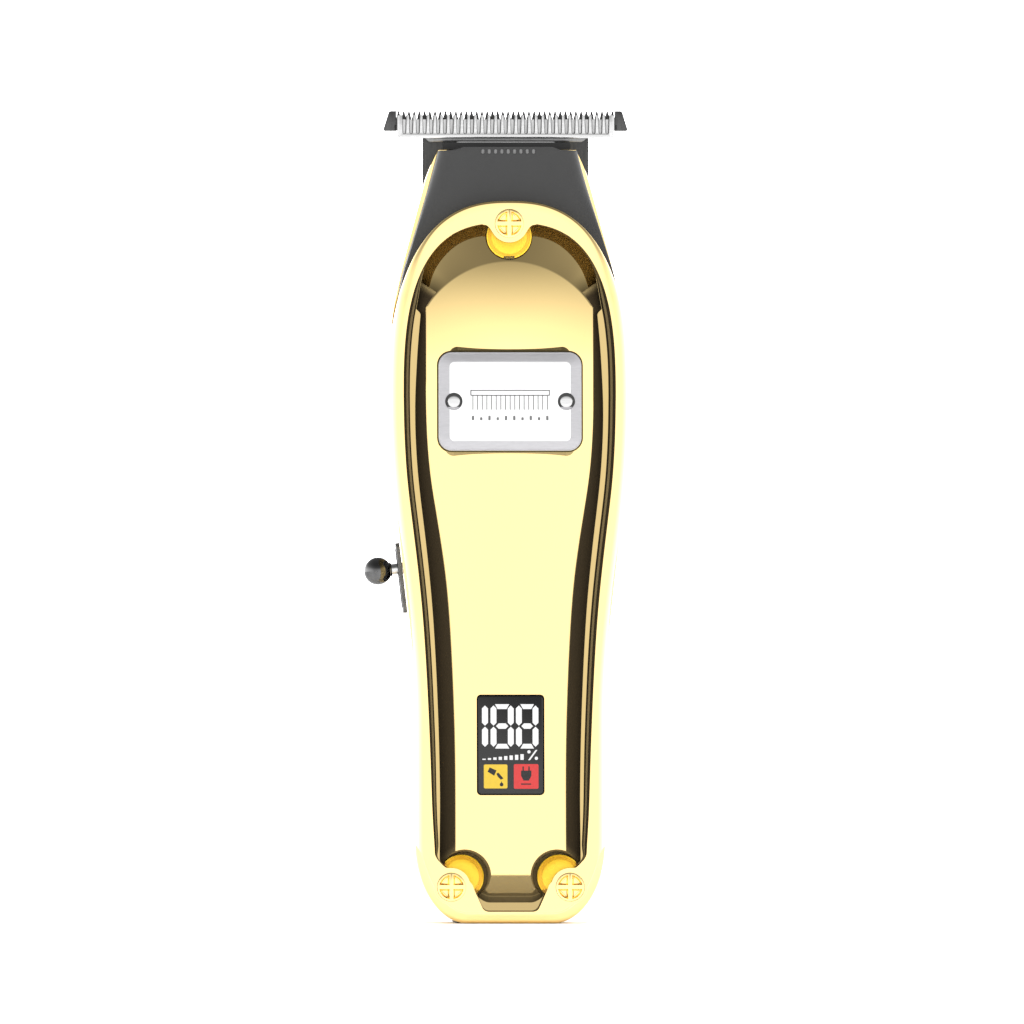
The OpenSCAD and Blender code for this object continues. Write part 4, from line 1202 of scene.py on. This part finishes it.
def fixed_blade(mats):
    """Shank with filleted shoulders, ground face and separate tapered teeth, between two wings."""
    y = BLADE_Y
    hw = 14.3
    right = [(hw, 110.0), (hw, 135.4)]
    right += arc(hw + 1, 135.4, -1, 1, 0.2, QUARTER, 7)
    right += [(19.2, 136.4), (19.2, 137.5)]
    outline = np.array(right + [(-x, z) for x, z in right[::-1]])
    shank = slab("fixed_blade_shank", outline, y, y + 1.15, mats["black_steel"], 0.08, 0.08)
    cut(shank, blade_holes(mats["black_steel"]))
    shade(shank)
    finish(shank, "fixed_blade")
    pad = slab("fixed_blade_back", rounded(26.6, 24.0, 1.2, (0, 122.6)), y + 1.0, y + 1.74,
               mats["black_steel"], 0.0, 0.2)
    cut(pad, blade_holes(mats["black_steel"]))
    shade(pad)
    finish(pad, "fixed_blade")
    face = slab("fixed_blade_ground_face", rounded(37.0, 3.2, 0.1, (0, 136.75), 3), y - 0.02, y + 0.2,
                mats["ground_steel"])
    finish(face, "fixed_blade")
    wings = []
    for s in (-1, 1):
        pts = [(18.85, 136.35), (20.7, 136.35)]
        pts += arc(20.75, 136.65, 0.3, 0.3, 0.3 - QUARTER, 1.8 - QUARTER, 5)
        pts += arc(19.75, 139.35, 0.45, 0.45, 0.2, QUARTER, 6)
        pts += [(18.85, 139.8)]
        pts = np.array(pts) * (s, 1)
        wings.append(slab("wing", pts if s > 0 else pts[::-1], y, y + 1.1, mats["wing_steel"], 0.12, 0.12))
    finish(join("fixed_blade_wings", wings), "fixed_blade")
    verts, faces = [], []
    count, pitch = 42, 0.9
    for k in range(count):
        x = (k - (count - 1) / 2) * pitch
        n = len(verts)
        for z, w, y0, y1 in ((136.9, 0.42, y, y + 1.1), (138.4, 0.41, y + 0.01, y + 0.95),
                             (139.2, 0.24, y + 0.08, y + 0.5), (139.8, 0.09, y + 0.16, y + 0.34)):
            verts += [(x + w * side, depth, z) for side, depth in
                      ((-1, y0 + 0.05), (-0.7, y0), (0.7, y0), (1, y0 + 0.05), (1, y1), (-1, y1))]
        for ring in range(3):
            for i in range(6):
                j = (i + 1) % 6
                faces.append((n + ring * 6 + i, n + ring * 6 + j, n + ring * 6 + 6 + j, n + ring * 6 + 6 + i))
        faces.append(tuple(n + 18 + i for i in range(6)))
        faces.append(tuple(n + 5 - i for i in range(6)))
    teeth = new_object("fixed_blade_teeth", verts, faces, mats["black_steel"], 25)
    finish(teeth, "fixed_blade")


def narrow_gaps(pts, count, pitch, by=0.13):
    """The comb's outline with its gaps narrower by an amount on each side."""
    pts = np.array(pts, float)
    nearest = (np.clip(np.round(pts[:, 0] / pitch), -(count // 2), count // 2)) * pitch
    away = pts[:, 0] - nearest
    inner = (pts[:, 1] > 135.8) & (np.abs(away) < 0.5)
    pts[inner, 0] -= np.sign(away[inner]) * np.minimum(by, np.abs(away[inner]))
    return offset(pts, -0.03)


def cutter(mats):
    """The polished moving cutter: 32 teeth with round-bottomed gaps, and a bevel below."""
    y0, y1 = SEAT_Y - 1.05, SEAT_Y - 0.01
    pitch, count, edge = 1.166, 31, 18.7
    pts = [(-edge + 0.4, 135.1), (edge - 0.4, 135.1)]
    pts += arc(edge - 0.4, 135.5, 0.4, 0.4, 0.3 - QUARTER, 0, 5)
    pts += [(edge, 138.9), (edge - 0.1, 139.08)]
    for k in range(count):
        x = (count - 1) / 2 * pitch - k * pitch
        pts += [(x + 0.44, 139.12), (x + 0.385, 139.02), (x + 0.37, 138.2), (x + 0.315, 136.2)]
        pts += arc(x, 136.16, 0.305, -0.305, 0.3, math.pi - 0.3, 7)
        pts += [(x - 0.315, 136.2), (x - 0.37, 138.2), (x - 0.385, 139.02), (x - 0.44, 139.12)]
    pts += [(-edge + 0.1, 139.08), (-edge, 138.9)]
    pts += arc(0.4 - edge, 135.5, -0.4, -0.4, 0, QUARTER - 0.3, 5)
    blade = slab("cutter_comb", pts, y0, y1, mats["cutter_steel"], 0.05, sharp=25)
    finish(blade, "cutter_blade", body="cutter")
    # A dark copy of the comb behind it: its narrower gaps paint a shadow along the sides of the teeth
    behind = narrow_gaps(pts, count, pitch)
    back = slab("cutter_comb_painted_shadow", behind, y0 + 0.55, y1, mats["wing_steel"], sharp=25)
    finish(back, "cutter_blade", body="cutter")
    hw = 13.0
    low = np.array([(-hw, 134.45), (hw, 134.45), (hw + 0.4, 134.6), (hw + 0.9, 135.12), (-hw - 0.9, 135.12),
                    (-hw - 0.4, 134.6)])
    bevel = slab("cutter_bevel", low, y0 + 0.15, y1, mats["bevel_steel"], 0.12, sharp=25)
    finish(bevel, "cutter_blade", body="cutter")
    tongue = slab("cutter_tongue", rounded(17.4, 8.7, 0.6, (0, 130.2)), y0 + 0.02, y1,
                  mats["cutter_steel"], 0.08)
    finish(tongue, "cutter_blade", body="cutter")


def blade_screws(mats):
    """Domed heads with a cross recess, behind the fixed blade."""
    parts = []
    y = BLADE_Y + 1.75
    profile = [(0, -9.2), (1.0, -9.0), (1.25, -8.6), (1.25, 0.0), (2.45, 0.0), (2.6, 0.12)]
    profile += [(2.6 * math.cos(a), 0.35 + 1.22 * math.sin(a) ** 1.2)
                for a in np.linspace(0, QUARTER, 12)[:-1]]
    profile += [(0, 1.57)]
    for x in BLADE_SCREW_X:
        screw = lathe("screw", profile, mats["steel"], (x, y, BLADE_SCREW_Z), (0, 1, 0), sharp=40)
        cross = [box_piece("tool", (x - 1.4, y + 0.7, 113.68), (x + 1.4, y + 3, 114.32), mats["steel"], 0.05),
                 box_piece("tool", (x - 0.32, y + 0.7, 112.6), (x + 0.32, y + 3, 115.4), mats["steel"], 0.05)]
        cut(screw, cross)
        shade(screw, 35)
        parts.append(screw)
    finish(join("blade_screw_pair", parts), "blade_screws")


# ---------------------------------------------------------------- base and switch

def base(mats):
    """The flat cap with the charging inlet in it."""
    cap = flat_slab("base_cap_plate", rounded(2 * BASE_HW, 2 * BASE_HALF, 1.0), 0.0, BASE_T,
                    mats["black_plastic"], 0.3)
    block = flat_slab("base_cap_block", rounded(14, 14, 0.8, (0, -0.5)), BASE_T - 0.05, 4.0,
                      mats["black_plastic"], 0, 0.3)
    mouth = rounded(9.04, 3.36, 1.6, (0, SOCKET_Y), 10)
    for obj in (cap, block):
        cut(obj, [flat_slab("tool", mouth, -3, 9, mats["black_plastic"])])
        shade(obj)
        finish(obj, "base_cap")
    around = rounded(8.94, 3.26, 1.55, (0, SOCKET_Y), 10)
    shell = flat_slab("inlet_shell", around, 0.3, 7.7, mats["steel"], 0.15)
    cut(shell, [flat_slab("tool", rounded(8.34, 2.56, 1.2, (0, SOCKET_Y), 10), -3, 6.8, mats["steel"])])
    shade(shell)
    finish(shell, "charge_socket")
    tongue = box_piece("inlet_tongue", (-3.35, SOCKET_Y - 0.35, 1.0), (3.35, SOCKET_Y + 0.35, 7.3),
                       mats["black_plastic"], 0.12)
    finish(tongue, "charge_socket")
    pads = [box_piece("pad", (x - 0.14, SOCKET_Y - 0.37, 1.5), (x + 0.14, SOCKET_Y + 0.37, 5.5),
                      mats["bronze"], 0.03) for x in np.linspace(-2.75, 2.75, 12)]
    finish(join("inlet_contacts", pads), "charge_socket")


def switch(mats):
    """Plate let into the side, a stem through its slot and the polished ball knob."""
    plate = switch_slab("switch_surround", rounded(6.2, PLATE_L, 0.9), -0.6, 0.45, mats["surround_grey"], 0.1)
    cut(plate, [switch_slab("tool", rounded(2.3, TRAVEL + 2.3, 1.14, (0, 1.65 - TRAVEL / 2)), -4, 4,
                            mats["black_plastic"])])
    cut(plate, [switch_slab("tool", rounded(4.3, PLATE_L - 2.0, 0.7), 0.25, 4, mats["black_plastic"])])
    shade(plate)
    finish(plate, "switch_plate")
    origin, out, up = switch_basis()
    centre = origin + 3.9 * out + 1.65 * up
    neck_r = 1.2
    neck_at = -math.sqrt(BALL_R ** 2 - neck_r ** 2)
    profile = [(0, neck_at - 0.3), (neck_r - 0.1, neck_at - 0.3), (neck_r, neck_at - 0.15)]
    profile += arc(0, 0, BALL_R, BALL_R, math.asin(neck_at / BALL_R), QUARTER, 40)[:-1] + [(0, BALL_R)]
    ball = lathe("switch_knob", profile, mats["dark_chrome"], centre, out, 64, 50)
    finish(ball, "switch_ball", body="switch")
    stem = [(0, -8.6), (2.0, -8.6), (2.0, -7.6), (0.95, -7.4), (0.95, -4.4), (0.82, -4.3), (0.82, -4.1),
            (0.95, -4.0), (0.95, -2.0), (0, -2.0)]
    stem = lathe("switch_stem", stem, mats["chrome_steel"], centre, out, 40)
    finish(stem, "switch_slider", body="switch")


def dress_inside(mats):
    """Finishes for the CAD nodes that stay as they are, by the record's slots."""
    for name, slot in SLOT_OF.items():
        materials = frame["nodes"][name].data.materials
        materials.clear()
        materials.append(mats[slot])


set_camera()
set_lights()
make_floor()
mats = {name: kind(name, *more) for kind, name, *more in MATERIALS}
dress_inside(mats)
front_cover(mats["gold_plate"])
rear_cover(mats["gold_plate"])
cover_screws(mats)
screw_collars(mats)
badge(mats)
display(mats)
neck(mats)
fixed_blade(mats)
cutter(mats)
blade_screws(mats)
base(mats)
switch(mats)
